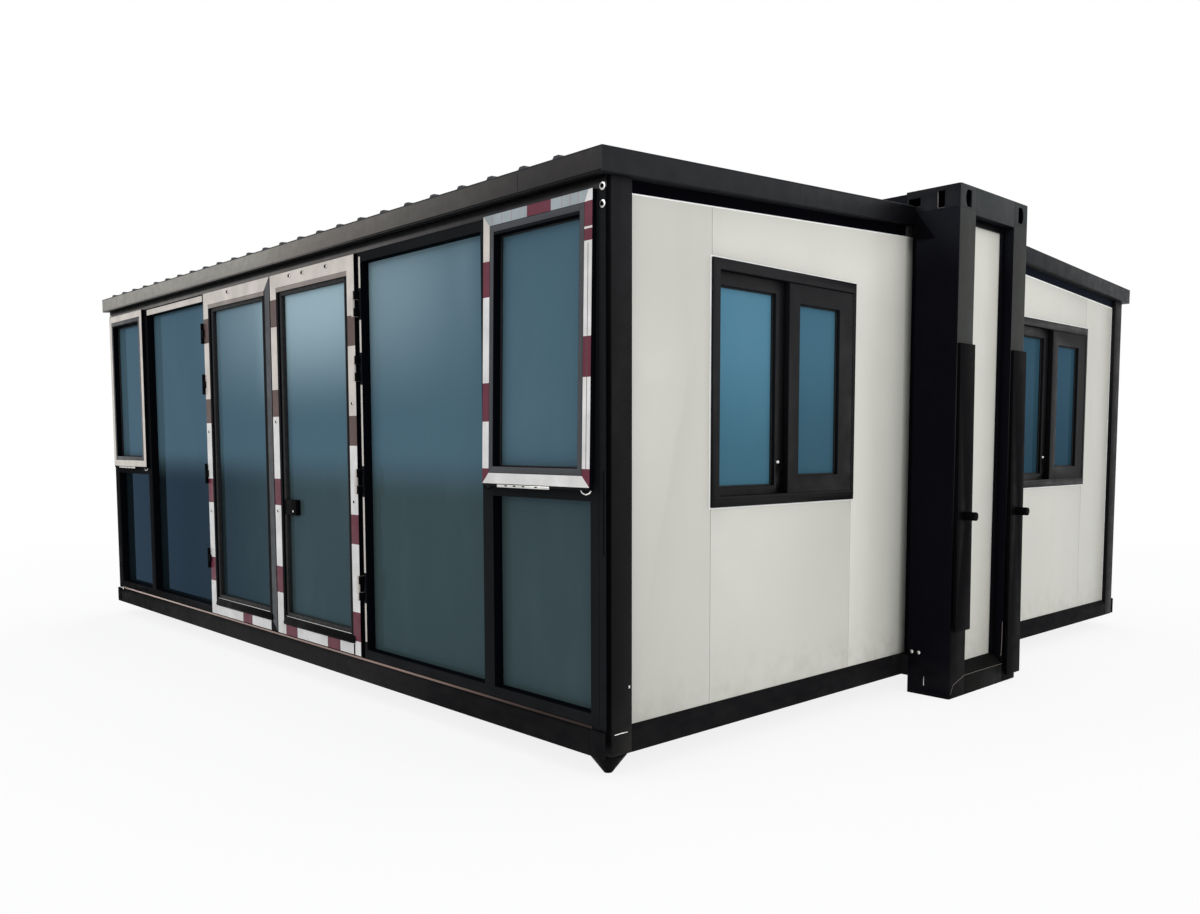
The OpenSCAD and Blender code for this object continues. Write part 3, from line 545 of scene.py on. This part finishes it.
class Kit:
    """Gathers solids, each with its own finish, into one piece."""

    def __init__(self):
        self.bm = bmesh.new()
        self.materials = []

    def add(self, bm, material, bevel=0.0):
        if bevel > 0:
            bm.normal_update()
            rounded(bm, bevel)
        if material not in self.materials:
            self.materials.append(material)
        for face in bm.faces:
            face.material_index = self.materials.index(material)
        merge(self.bm, bm)

    def block(self, x, y, z, material, bevel=0.5 * MM):
        """A bar between two values on each axis."""
        bm = bmesh.new()
        size = Vector((abs(x[1] - x[0]), abs(y[1] - y[0]), abs(z[1] - z[0])))
        place = Vector((sum(x) / 2, sum(y) / 2, sum(z) / 2))
        matrix = Matrix.Translation(place) @ Matrix.Diagonal(size).to_4x4()
        bmesh.ops.create_cube(bm, size=1, matrix=matrix)
        self.add(bm, material, bevel)

    def prism(self, outline, axis, start, end, material, bevel=0.0):
        """An outline in the plane across axis (0, 1 or 2), run from start to end along it."""
        bm = bmesh.new()
        rings = []
        for level in (start, end):
            ring = []
            for a, b in outline:
                point = [a, b]
                point.insert(axis, level)
                ring.append(bm.verts.new(point))
            rings.append(ring)
        count = len(outline)
        bm.faces.new(rings[0])
        bm.faces.new(rings[1][::-1])
        for i in range(count):
            j = (i + 1) % count
            bm.faces.new((rings[0][j], rings[0][i], rings[1][i], rings[1][j]))
        bmesh.ops.recalc_face_normals(bm, faces=bm.faces)
        self.add(bm, material, bevel)

    def skin(self, bm, rings, material):
        """Closes rings of bm's points into a solid."""
        for a, b in zip(rings, rings[1:]):
            for i in range(len(a)):
                j = (i + 1) % len(a)
                bm.faces.new((a[i], a[j], b[j], b[i]))
        bm.faces.new(rings[0][::-1])
        bm.faces.new(rings[-1])
        bmesh.ops.recalc_face_normals(bm, faces=bm.faces)
        self.add(bm, material)

    def turned(self, profile, place, direction, material, sides=28):
        """A profile of (radius, height) points turned about direction from place."""
        bm = bmesh.new()
        turn = facing(place, direction)
        self.skin(bm, [[bm.verts.new(turn @ point) for point in circle(radius, height, sides)]
                       for radius, height in profile], material)

    def rod(self, points, radius, material, sides=14):
        """A round bar bent along points."""
        bm = bmesh.new()
        rings = []
        for i, point in enumerate(points):
            ahead = Vector(points[min(i + 1, len(points) - 1)]) - Vector(points[max(i - 1, 0)])
            turn = facing(point, ahead)
            rings.append([bm.verts.new(turn @ spot) for spot in circle(radius, 0.0, sides)])
        self.skin(bm, rings, material)

    def screw(self, place, direction, radius, rim, core):
        """A pan-head screw with a dark recess."""
        head = [(radius, 0), (radius, radius * 0.25), (radius * 0.8, radius * 0.5)]
        self.turned(head, place, direction, rim)
        seat = Vector(place) + Vector(direction).normalized() * radius * 0.45
        self.turned([(radius * 0.72, 0), (radius * 0.72, radius * 0.12)], seat, direction, core, 12)

    def band(self, side, frame_box, width, start, end, face, thick, material, mitred=(True, True)):
        """A sheet on one side of a rectangular frame's -Y face, cut on the mitre at the corners.

        frame_box is (x0, x1, z0, z1); start and end run along the side from its low end."""
        x0, x1, z0, z1 = frame_box
        upright = side in ("left", "right")
        length = z1 - z0 if upright else x1 - x0
        lower = width if mitred[0] else 0
        upper = width if mitred[1] else 0
        inner = [min(max(v, lower), length - upper) for v in (start, end)]
        if inner[1] <= inner[0]:
            inner[1] = inner[0] + 0.1 * MM
        if upright:
            edge, inside = (x0, x0 + width) if side == "left" else (x1, x1 - width)
            outline = [(edge, z0 + start), (edge, z0 + end),
                       (inside, z0 + inner[1]), (inside, z0 + inner[0])]
        else:
            edge, inside = (z0, z0 + width) if side == "bottom" else (z1, z1 - width)
            outline = [(x0 + start, edge), (x0 + end, edge),
                       (x0 + inner[1], inside), (x0 + inner[0], inside)]
        self.prism(outline, 1, face, face - thick, material)

    def ring(self, frame_box, width, y, material, bevel=0.6 * MM):
        """Four bars, mitred at the corners, between the two depths y."""
        x0, x1, z0, z1 = frame_box
        lengths = {"left": z1 - z0, "right": z1 - z0, "top": x1 - x0, "bottom": x1 - x0}
        for side, length in lengths.items():
            kit = Kit()
            kit.band(side, frame_box, width, 0, length, y[0], y[0] - y[1], material)
            kit.bm.normal_update()
            self.add(kit.bm, material, bevel)

    def done(self, name, body):
        return finished(name, self.bm, self.materials, body)


# ---- The CAD nodes' shapes, with rounded edges and their finishes ----

# Places in the lists of finishes that the functions below choose from
END_FACE, SHADED_SIDE, TRIM, RAIL = range(4)
PLAIN_EDGE, DUSTY_FRONT, CHANNEL_FACE = range(3)
OUTER, INNER, FILMED = range(3)
PLATE, BARREL = range(2)
END_RAIL_TOP = 0.16


def core_finish(point, normal):
    """Grey end faces, sides and soffit black as painted shade, black trims, and the dark bottom rail."""
    between_posts = abs(point.y) < core_y - POST_W - 1 * MM
    if between_posts and point.z < END_RAIL_TOP:
        return RAIL
    if abs(normal.y) > 0.8 or normal.z < -0.8:
        return SHADED_SIDE
    if between_posts and abs(point.x) < core_x - 30 * MM:
        return TRIM
    return END_FACE


def roof_edge_finish(point, normal):
    """Front face with dust and a painted sheen, channel over the walls black as painted shade, and dark edges
    elsewhere.
    """
    if abs(normal.y) > 0.9 and abs(point.y) > abs(eave_y) - 5 * MM:
        return DUSTY_FRONT
    if abs(normal.x) > 0.9 and abs(point.x) < wall_x + 2 * MM:
        return CHANNEL_FACE
    return PLAIN_EDGE


def on_outer_post_corner(edge):
    point = (edge.verts[0].co + edge.verts[1].co) / 2
    return (is_upright(edge) and abs(point.x) > core_x - 1 * MM
            and abs(point.y) > core_y - 1 * MM)


post_corner = (9 * MM, on_outer_post_corner)
for side in SIDES:
    dressed(f"end_frame_{side}", 0.8 * MM, [STEEL_END, SHADED_STEEL, BLACK, END_RAIL], core_finish,
            post_corner)
    dressed(f"end_panel_{side}", 1 * MM, [PANEL])
    dressed(f"leg_bars_{side}", 1.5 * MM, [BLACK])
dressed("corner_fittings", 0.8 * MM, [STEEL_END, SHADED_FITTING_SIDE, BLACK, END_RAIL], core_finish,
        post_corner)
dressed("core_top_beams", 3 * MM, [SHADED_STEEL])
dressed("core_roof", 1.5 * MM, [ROOF_SHEET])
dressed("core_base_frame", 3 * MM, [BASE_STEEL])

for wing in ("front", "rear"):
    dressed(f"{wing}_floor_frame", 2.5 * MM, [BASE_STEEL])
    dressed(f"{wing}_roof_frame", 3 * MM, [ROOF_EDGE, FASCIA, CHANNEL], roof_edge_finish)
    dressed(f"{wing}_roof", 1.5 * MM, [ROOF_SHEET])
    dressed(f"{wing}_corner_posts", 3 * MM, [POST_STEEL])
    for side in SIDES:
        dressed(f"end_wall_{wing}_{side}", 0.8 * MM, [PANEL])
dressed("levelling_foot", 1.5 * MM, [BLACK])
dressed("rear_wall", 1 * MM, [PANEL])

for name in ("end_windows_right", "end_windows_left", "rear_windows"):
    dressed(name, 1.5 * MM, [WINDOW_BAR])
dressed("front_sill", 1 * MM, [SILL])
dressed("front_head_rail", 1 * MM, [HEAD_RAIL])


def reveal_finish(point, normal):
    """Painted shade: black in the reveals, where a frame's faces look sideways."""
    return OUTER if abs(normal.y) > 0.7 else INNER


def leaf_finish(point, normal):
    """As the reveals, but with film over the right leaf's barrels and plates, before its face."""
    if point.y > leaf_face - 0.5 * MM or point.x < 0:
        return reveal_finish(point, normal)
    return FILMED


def hinge_finish(point, normal):
    """Film over the right leaf's barrels, black plates on the jamb."""
    return BARREL if 0 < point.x < leaf_high.x - 0.5 * MM else PLATE


# The opening windows move in by a little more than the film's thickness, so that it stays in the box.
FILM_ROOM = 0.6 * MM
for side in SIDES:
    dressed(f"front_frame_{side}", 1.2 * MM, [CHARCOAL, SHADED_REVEAL], reveal_finish)
    sash = dressed(f"awning_sash_{side}", 1.5 * MM, [CHARCOAL, SHADED_REVEAL], reveal_finish)
    sash.data.transform(Matrix.Translation((0, FILM_ROOM, 0)))
    dressed(f"door_leaf_{side}", 1 * MM, [CHARCOAL, SHADED_REVEAL, SILVER], leaf_finish)
dressed("door_lining", 1.2 * MM, [CHARCOAL, SHADED_REVEAL], reveal_finish)
dressed("door_hinge_plates", 0.6 * MM, [BLACK, SILVER], hinge_finish)
dressed("door_lock", 1.2 * MM, [BLACK])

# Floors and glass keep their CAD shape.
for name, node in frame["nodes"].items():
    if name.endswith("_floor") or "glass" in name:
        node.data.materials.clear()
        node.data.materials.append(BOARD if name.endswith("_floor")
                                   else WINDOW_GLASS if "window" in name else GLASS)


# ---- Sliding windows: sealant, beads, pull and knob ----

def window_trim(name, places):
    """Details of the sliding windows, made once facing +X and set at each place."""
    kit = Kit()
    half = WIN_HALF
    height = window_high.z - window_low.z
    proud = 12 * MM

    def ring(limits, width, depth, material, bevel):
        """A ring around limits (y0, y1, z0, z1), made facing -Y and turned to face +X."""
        flat = Kit()
        flat.ring(limits, width, (-depth[0], -depth[1]), material, bevel)
        flat.bm.transform(Matrix.Rotation(math.radians(90), 4, "Z"))
        kit.add(flat.bm, material)

    edge = 7 * MM
    fixed_pane = (-half + 58 * MM, -54 * MM, 79 * MM, height - 98 * MM)
    sliding_pane = (75 * MM, 375 * MM, 120 * MM, height - 132 * MM)
    ring((-half - edge, half + edge, -edge, height + edge), edge, (-1 * MM, 2 * MM), SEALANT, 0.8 * MM)
    ring(fixed_pane, 6 * MM, (-48 * MM, -40 * MM), RUBBER, 1 * MM)
    ring(sliding_pane, 6 * MM, (-16 * MM, -9 * MM), RUBBER, 1 * MM)
    # drip nose along the foot, lip under the head, and the sash's pull and knob
    for y0, y1, z0, z1, x0, x1, material in (
            (-half, half, 30 * MM, 33 * MM, 11 * MM, proud + 1.5 * MM, WINDOW_BAR),
            (-half + 44 * MM, half - 20 * MM, height - 49 * MM, height - 44 * MM, 2 * MM, proud, BLACK)):
        kit.prism([(y0, z0), (y1, z0), (y1, z1), (y0, z1)], 0, x0, x1, material, 0.6 * MM)
    pull = [(-22 * MM, -20 * MM, 50 * MM), (-12 * MM, -24 * MM, 70 * MM), (-9 * MM, -25 * MM, 150 * MM),
            (-18 * MM, -22 * MM, 190 * MM)]
    kit.rod(pull, 5 * MM, BLACK)
    knob = [(0.5 * MM, 0), (5 * MM, 0), (6.5 * MM, 4 * MM), (6 * MM, 8 * MM), (3 * MM, 10.5 * MM)]
    kit.turned(knob, (-24 * MM, -38 * MM, 180 * MM), (1, 0, 0), SEALANT, 20)
    joined = bmesh.new()
    for place in places:
        merge(joined, placed_copy(kit.bm, place))
    kit.bm.free()
    finished(name, joined, kit.materials, "building")


MIRRORED = Matrix.Diagonal((-1, 1, 1, 1))
end_places = [Matrix.Translation((wall_x, y, window_low.z))
              for y in (window_low.y + WIN_HALF, window_high.y - WIN_HALF)]
window_trim("window_trim_right", end_places)
window_trim("window_trim_left", [MIRRORED @ place for place in end_places])
rear_low, rear_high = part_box("rear_windows")
window_trim("window_trim_rear", [
    Matrix.Translation((x, high("rear_wall").y, rear_low.z)) @ Matrix.Rotation(math.radians(90), 4, "Z")
    for x in (rear_low.x + WIN_HALF, rear_high.x - WIN_HALF)])


# ---- Corners, posts and panel edges ----

def mirrored_pair(kit):
    merge(kit.bm, placed_copy(kit.bm, MIRRORED))


def panel_sealant():
    """White sealant lines along the end walls' tops and outer edges."""
    kit = Kit()
    channel = 48 * MM
    slope = ROOF_RISE / (abs(eave_y) - core_y)
    for side in (-1, 1):
        outer = abs(post_in_y)
        inner = core_y - 65 * MM
        ends = []
        for y in (outer, inner):
            top = eave_low + slope * (abs(eave_y) - y) - channel
            ends.append((side * y, top))
        kit.prism([(ends[0][0], ends[0][1] - 6 * MM), (ends[1][0], ends[1][1] - 6 * MM),
                   (ends[1][0], ends[1][1] - 0.5 * MM), (ends[0][0], ends[0][1] - 0.5 * MM)],
                  0, wall_x - 0.5 * MM, wall_x + 1.5 * MM, SEALANT, 0.5 * MM)
        kit.block((wall_x - 0.5 * MM, wall_x + 1.5 * MM), (side * outer, side * (outer - 5 * MM)),
                  (base_z, ends[0][1] - 4 * MM), SEALANT, 0.5 * MM)
    mirrored_pair(kit)
    kit.done("panel_sealant", "building")


def corner_details():
    """Bolts, slots and small tabs at the front corners and on the core's posts, with a painted shadow and
    painted highlights.
    """
    kit = Kit()
    washer = [(15 * MM, 0), (15 * MM, 1 * MM), (13 * MM, 1.6 * MM)]
    nut = [(8.5 * MM, 1.4 * MM), (8.5 * MM, 4.5 * MM), (7 * MM, 5.5 * MM)]
    for place in ((2.666, face_y, 2.162), (2.666, face_y, 2.100)):
        kit.turned(washer, place, (0, -1, 0), CHROME)
        kit.turned(nut, place, (0, -1, 0), BLACK, 6)
    # joint in the fascia and lines down the corner's cover
    kit.block((2.2282, 2.2298), (fascia_y - 0.3 * MM, fascia_y + 1 * MM),
              (eave_low + 4 * MM, eave_low + 80 * MM), BLACK, 0.0)
    kit.block((2.6435, 2.6455), (face_y - 0.4 * MM, face_y + 1 * MM), (base_z + 20 * MM, head_z), BLACK, 0.0)
    kit.block((2.667, 2.673), (face_y - 0.6 * MM, face_y + 1 * MM), (0.84, 1.15), BLACK, 0.2 * MM)
    kit.block((wing_x - 0.5 * MM, wing_x + 2 * MM), (-2.265, -2.257), (0.333, 0.344), CHROME, 1.2 * MM)
    kit.rod([(wing_x - 1 * MM, -2.335, 0.168), (wing_x + 0.5 * MM, -2.30, 0.169),
             (wing_x - 1 * MM, -2.268, 0.168)], 2 * MM, CHROME, 8)
    # bolts low on the post's side, the bright slit and the edges of the lifting slots
    bolt = [(9 * MM, 0), (9 * MM, 1.5 * MM), (6 * MM, 4 * MM), (1 * MM, 5 * MM)]
    for side in (-1, 1):
        for x in (2.742, 2.781):
            kit.turned(bolt, (x, side * core_y, 0.21), (0, side, 0), CHROME, 18)
        kit.block((2.810, 2.8135), (side * (core_y - 0.5 * MM), side * (core_y + 0.4 * MM)),
                  (0.048, 0.093), CHROME, 0.3 * MM)
        slot_y = (side * (core_y - 9 * MM), side * (core_y - 2 * MM))
        kit.block((core_x - 122 * MM, core_x - 83 * MM), slot_y, (2.3775, 2.3795), LIP_AND_HIGHLIGHT, 0.4 * MM)
        kit.block((core_x - 123.5 * MM, core_x - 121.5 * MM), slot_y, (2.3795, 2.457), LIP_AND_HIGHLIGHT, 0.4 * MM)
    # painted shadow: a thin black sheet on the core's post side, below the wing's roof
    side_y = low("end_frame_right").y
    kit.prism([(2.70, 2.40), (2.82, 2.24), (2.70, 2.24)], 1, side_y + 1 * MM, side_y - 2 * MM, BLACK)
    # painted highlights: light rods along the folds and weld edges low on the end frame
    end_x = core_x + 0.3 * MM
    for points, thick in ((((-0.335, 0.022), (-0.31, 0.066), (-0.205, 0.098)), 1.4),
                          (((0.205, 0.097), (0.0, 0.099), (-0.205, 0.099)), 1.0),
                          (((0.195, 0.32), (0.193, 0.20), (0.188, 0.14)), 1.2)):
        kit.rod([(end_x - 1 * MM, y, z) for y, z in points], thick * MM, LIP_AND_HIGHLIGHT, 8)
    mirrored_pair(kit)
    kit.done("corner_details", "building")


def fascia_line():
    """Pinkish line along the foot of the front fascia: dust and a painted highlight, fading into painted
    shade towards +X.
    """
    kit = Kit()
    kit.block((-roof_x + 6 * MM, roof_x - 6 * MM), (fascia_y - 0.4 * MM, fascia_y + 1 * MM),
              (eave_low + 2 * MM, eave_low + 8 * MM), FASCIA_LINE, 0.3 * MM)
    kit.done("fascia_edge_line", "building")


panel_sealant()
corner_details()
fascia_line()


# ---- Doors: film, lips, weather bars and screws ----

FILM_T = 0.5 * MM
FILM_W = 70 * MM
BAND_LEN = 145 * MM
BAND_PITCH = 481 * MM
LIP_W = 24 * MM


def stile_film(kit, side, box, face, first, mitred=(False, True)):
    """Film down a stile: coloured bands at an even pitch, beige above and white below."""
    height = box[3] - box[2]
    bands = []
    centre = first
    while centre > -BAND_LEN / 2:
        bands.append((max(centre - BAND_LEN / 2, 0), min(centre + BAND_LEN / 2, height)))
        centre -= BAND_PITCH
    top = height
    for number, (start, end) in enumerate(bands):
        old = number < 2
        if top > end:
            kit.band(side, box, FILM_W, end, top, face, FILM_T, SILVER if old else WHITE, mitred)
        kit.band(side, box, FILM_W, start, end, face, FILM_T, BROWN if old else MAROON, mitred)
        top = start
    if top > 0:
        kit.band(side, box, FILM_W, 0, top, face, FILM_T, WHITE, mitred)


def leaf_trim(side):
    sign = 1 if side == "right" else -1
    inner_low, inner_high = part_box(f"door_glass_{side}")
    x0, x1 = sorted((sign * 5 * MM, sign * film_edge))
    box = (x0, x1, leaf_low.z, leaf_high.z)
    kit = Kit()
    face = leaf_face
    if side == "right":
        stile_film(kit, "left", box, face, 1.742)
        stile_film(kit, "right", box, face, 1.586)
        rail = [(0.0, 95, WHITE), (95, 226, MAROON), (230, 570, WHITE), (574, 699, MAROON),
                (703, 854, WHITE)]
    else:
        stile_film(kit, "left", box, face, 1.720)
        kit.band("right", box, FILM_W - 12 * MM, 0, box[3] - box[2], face, FILM_T, STILE_GREY)
        rail = [(70, 455, WHITE), (459, 577, MAROON), (581, 830, WHITE)]
    kit.band("top", box, FILM_W, 0, x1 - x0, face, FILM_T, SILVER)
    foot_w = 54 * MM
    for start, end, material in rail:
        near, far = x0 + max(start * MM, FILM_W + 2 * MM), x0 + end * MM
        kit.prism([(near, box[2]), (far, box[2]), (far, box[2] + foot_w), (near, box[2] + foot_w)],
                  1, face, face - FILM_T, material)
    # lip inside the film along the top, and the black bead round the glass
    opening = (inner_low.x, inner_high.x, inner_low.z, inner_high.z)
    kit.ring(opening, 22 * MM, (inner_low.y, face + 9 * MM), RUBBER)
    kit.block((x0 + FILM_W, x1 - FILM_W), (face, face - 1.0 * MM),
              (box[3] - FILM_W - LIP_W, box[3] - FILM_W - 1 * MM), LIP_AND_HIGHLIGHT, 0.4 * MM)
    # weather bar over the bottom rail
    bar_x = (x0 + 84 * MM, x1 - 52 * MM)
    profile = [(face + 1 * MM, box[2] + 58 * MM), (face - 9 * MM, box[2] + 60 * MM),
               (face - 11 * MM, box[2] + 66 * MM), (face - 6 * MM, box[2] + 84 * MM),
               (face + 1 * MM, box[2] + 98 * MM)]
    kit.prism(profile, 0, bar_x[0], bar_x[1], BLACK, 1.2 * MM)
    kit.block(bar_x, (face + 8 * MM, face + 1 * MM), (box[2] + 99 * MM, box[2] + 103 * MM), CHROME, 0.8 * MM)
    if side == "right":
        cylinder = [(6 * MM, 0), (6 * MM, 1.5 * MM), (4 * MM, 3 * MM)]
        kit.turned(cylinder, (0.205, low("door_lock").y, 0.885), (0, -1, 0), CHROME, 16)
    # screws through the film
    stiles = {"right": ((x0 + FILM_W * 0.55, (1.366, 0.881)), (x1 - FILM_W * 0.5, (1.442, 0.965))),
              "left": ((x0 + FILM_W * 0.55, (1.319, 0.838)),)}[side]
    for x, heights in stiles:
        for z in heights:
            kit.screw((x, face - FILM_T, z), (0, -1, 0), 9 * MM, CHROME, BLACK)
    for share in ((0.26, 0.42, 0.70) if side == "right" else (0.40,)):
        kit.screw((x0 + share * (x1 - x0), face - FILM_T, box[3] - 0.36 * FILM_W), (0, -1, 0), 12 * MM,
                  CHROME, BLACK)
    kit.done(f"leaf_trim_{side}", f"leaf_{side}")


for side in SIDES:
    leaf_trim(side)


def jamb_film():
    """Broken film strips on the right door jamb."""
    kit = Kit()
    edge = low("front_frame_right").x + 24.5 * MM
    for top, bottom in ((2.136, 1.989), (1.838, 1.684), (1.530, 1.140), (0.99, 0.62), (0.47, 0.28)):
        kit.block((edge - 15 * MM, edge), (face_y, face_y - FILM_T), (bottom, top), SILVER, 0.0)
    kit.done("jamb_film", "building")


def head_film():
    """Film along the head of the bay left of the doors."""
    kit = Kit()
    kit.block((-1.960 + 36 * MM, -0.97), (face_y, face_y - FILM_T), (head_z - 44 * MM, head_z - 8 * MM),
              SILVER, 0.0)
    kit.done("head_film", "building")


jamb_film()
head_film()


# ---- Opening windows ----

AJAR = {"right": math.radians(1.05), "left": 0.0}
SASH_PROUD = 20 * MM         # from the front's face out to a sash's face
SASH_BAR = 70 * MM           # width of a sash's stiles
SASH_RAIL = 80 * MM          # and of its rails
STRIP_W = 42 * MM            # width of the film on them


def awning_trim(side):
    """Film, bead, latch strip and hooks, made upright below the hinge line and then swung ajar."""
    low_c, high_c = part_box(f"awning_sash_{side}")
    width = high_c.x - low_c.x
    height = high_c.z - low_c.z
    kit = Kit()
    strip = STRIP_W
    foot = 10 * MM
    box = (-width / 2, width / 2, foot - height, 0.0)
    face = -SASH_PROUD
    if side == "right":
        for start, end, material in ((0, 282, GREY_FILM), (282, 426, MAROON), (426, 638, GREY_FILM),
                                     (638, 660, WHITE)):
            kit.band("top", box, strip, start * MM, min(end * MM, width), face, FILM_T, material)
        for cut in (60, 122, 184, 490, 536, 581):
            kit.block((box[0] + (cut - 1) * MM, box[0] + (cut + 1) * MM),
                      (face - FILM_T, face - FILM_T - 0.1 * MM), (box[3] - strip + 2 * MM, box[3]), PINK, 0.0)
        kit.band("bottom", box, strip, 0, width, face, FILM_T, WHITE)
        runs = {"left": ((0, 60, MAROON), (60, 249, WHITE), (249, 404, MAROON), (404, 746, WHITE),
                         (746, 888, MAROON), (888, 1078, SILVER)),
                "right": ((0, 68, MAROON), (68, 401, WHITE), (401, 548, MAROON), (548, 888, WHITE),
                          (888, 930, MAROON), (930, 938, WHITE), (938, 1028, MAROON), (1028, 1078, WHITE))}
        for where, cuts in runs.items():
            for start, end, material in cuts:
                kit.band(where, box, strip, start * MM, min(end * MM, height - foot), face, FILM_T, material)
        # edge of the film's second layer down the right stile
        kit.block((box[1] - 22 * MM, box[1] - 19 * MM), (face - FILM_T, face - FILM_T - 0.1 * MM),
                  (box[2] + 60 * MM, box[3] - 190 * MM), BROWN, 0.0)
    else:
        for where, length in (("top", width), ("bottom", width), ("left", height - foot),
                              ("right", height - foot)):
            kit.band(where, box, strip, 0, length, face, FILM_T, SILVER)
    # grey inner face beside the film, and the bead round the glass
    inner = (box[0] + strip + 2 * MM, box[1] - strip - 2 * MM,
             box[2] + strip + 2 * MM, box[3] - strip - 2 * MM)
    kit.ring(inner, 24 * MM, (face + 1 * MM, face - 0.4 * MM), STILE_GREY, 0.3 * MM)
    bead = (box[0] + SASH_BAR, box[1] - SASH_BAR, box[2] - foot + SASH_RAIL, box[3] - SASH_RAIL)
    kit.ring(bead, 5 * MM, (23.5 * MM, 14 * MM), RUBBER)
    # latch strip along the sash's foot, and hooks under its corners
    kit.block((box[0] + 100 * MM, box[0] + 430 * MM), (face + 1 * MM, face - FILM_T),
              (box[2] - 14 * MM, box[2] - 3 * MM), CHROME, 0.3 * MM)
    for at in (150, 205, 262, 340):
        kit.block((box[0] + at * MM, box[0] + (at + 16) * MM), (face, face - FILM_T - 0.1 * MM),
                  (box[2] - 10 * MM, box[2] - 5 * MM), BLACK, 0.0)
    under = box[2] - foot
    for sign in (-1, 1):
        x = sign * (width / 2 - 22 * MM)
        hook = [(x - sign * 34 * MM, face + 9 * MM, under - 1 * MM),
                (x - sign * 20 * MM, face + 7 * MM, under - 12 * MM), (x, face + 5 * MM, under - 16 * MM),
                (x + sign * 16 * MM, face + 7 * MM, under - 11 * MM),
                (x + sign * 20 * MM, face + 10 * MM, under - 1 * MM)]
        kit.rod(hook, 3.2 * MM, BLACK if sign < 0 else CHROME)
    piece = kit.done(f"awning_trim_{side}", "building")
    hinge_line = Matrix.Translation(((low_c.x + high_c.x) / 2, face_y + FILM_ROOM, head_z))
    piece.data.transform(hinge_line @ Matrix.Rotation(-AJAR[side], 4, "X"))


for side in SIDES:
    awning_trim(side)


# ---- Floor, light and camera ----

def studio_floor():
    bm = bmesh.new()
    bmesh.ops.create_grid(bm, x_segments=1, y_segments=1, size=60)
    mesh = bpy.data.meshes.new("studio_floor")
    bm.to_mesh(mesh)
    bm.free()
    floor = bpy.data.objects.new("studio_floor", mesh)
    floor.location.z = -0.5 * MM
    bpy.context.scene.collection.objects.link(floor)
    f = Finish("studio_floor_pale", Roughness=0.9, Specular_IOR_Level=0.0)
    f.colour(f.mix(f.spread(f.noise(0.4, 2.0), 0.3, 0.7), (0.90, 0.90, 0.90, 1), (0.92, 0.92, 0.92, 1)))
    # The camera sees the floor a little lighter, and white far out, but with the object's shadow.
    distance = f.node("ShaderNodeVectorMath")
    distance.operation = "LENGTH"
    f.link(f.place, distance.inputs[0])
    fade = f.spread(distance.outputs["Value"], 4.0, 11.0, 0.84, 1.0, smooth=True)
    share = f.math("MULTIPLY", fade, direct_rays(f.tree))
    white = f.node("ShaderNodeEmission")
    seen = blended(f.tree, share, f.shader.outputs[0], white.outputs[0])
    f.link(seen, f.output.inputs["Surface"])
    mesh.materials.append(f.material)


def studio_world():
    """Soft light on the object, and plain white where the world itself is seen."""
    world = bpy.data.worlds.new("studio")
    world.use_nodes = True
    tree = world.node_tree
    tree.nodes.clear()

    def background(colour, strength):
        node = tree.nodes.new("ShaderNodeBackground")
        node.inputs["Color"].default_value = colour
        node.inputs["Strength"].default_value = strength
        return node.outputs[0]

    soft = background((0.95, 0.97, 1.0, 1), 0.55)
    seen = background((1, 1, 1, 1), 1.0)
    out = tree.nodes.new("ShaderNodeOutputWorld")
    tree.links.new(blended(tree, direct_rays(tree), soft, seen), out.inputs["Surface"])
    bpy.context.scene.world = world


def softbox(name, place, aim, size, watts):
    light = bpy.data.lights.new(name, "AREA")
    light.shape = "RECTANGLE"
    light.size, light.size_y = size
    light.energy = watts
    lamp = bpy.data.objects.new(name, light)
    lamp.location = place
    lamp.rotation_euler = (Vector(aim) - Vector(place)).to_track_quat("-Z", "Y").to_euler()
    bpy.context.scene.collection.objects.link(lamp)


def make_camera():
    data = bpy.data.cameras.new("camera")
    data.sensor_width = 36.0
    data.lens = 30.56
    data.shift_x, data.shift_y = -0.0312, 0.0539
    data.clip_end = 200
    camera = bpy.data.objects.new("camera", data)
    camera.location = (5.4045, -4.8634, 1.2465)
    camera.rotation_euler = [math.radians(a) for a in (85.653, -0.055, 45.80)]
    bpy.context.scene.collection.objects.link(camera)
    bpy.context.scene.camera = camera


studio_floor()
studio_world()
softbox("key", (15.0, -8.0, 11.0), (0, 0, 1), (10, 8), 700)
softbox("side", (17.0, 6.0, 3.5), (0, 0, 1.2), (12, 5), 560)
softbox("fill", (-7.0, -18.0, 9.0), (0, 0, 1), (10, 8), 800)
softbox("top", (0.0, 0.0, 13.0), (0, 0, 0), (12, 10), 520)
softbox("back", (-13.0, 13.0, 9.0), (0, 0, 1), (10, 8), 900)
make_camera()
bpy.context.scene.view_settings.view_transform = "Standard"
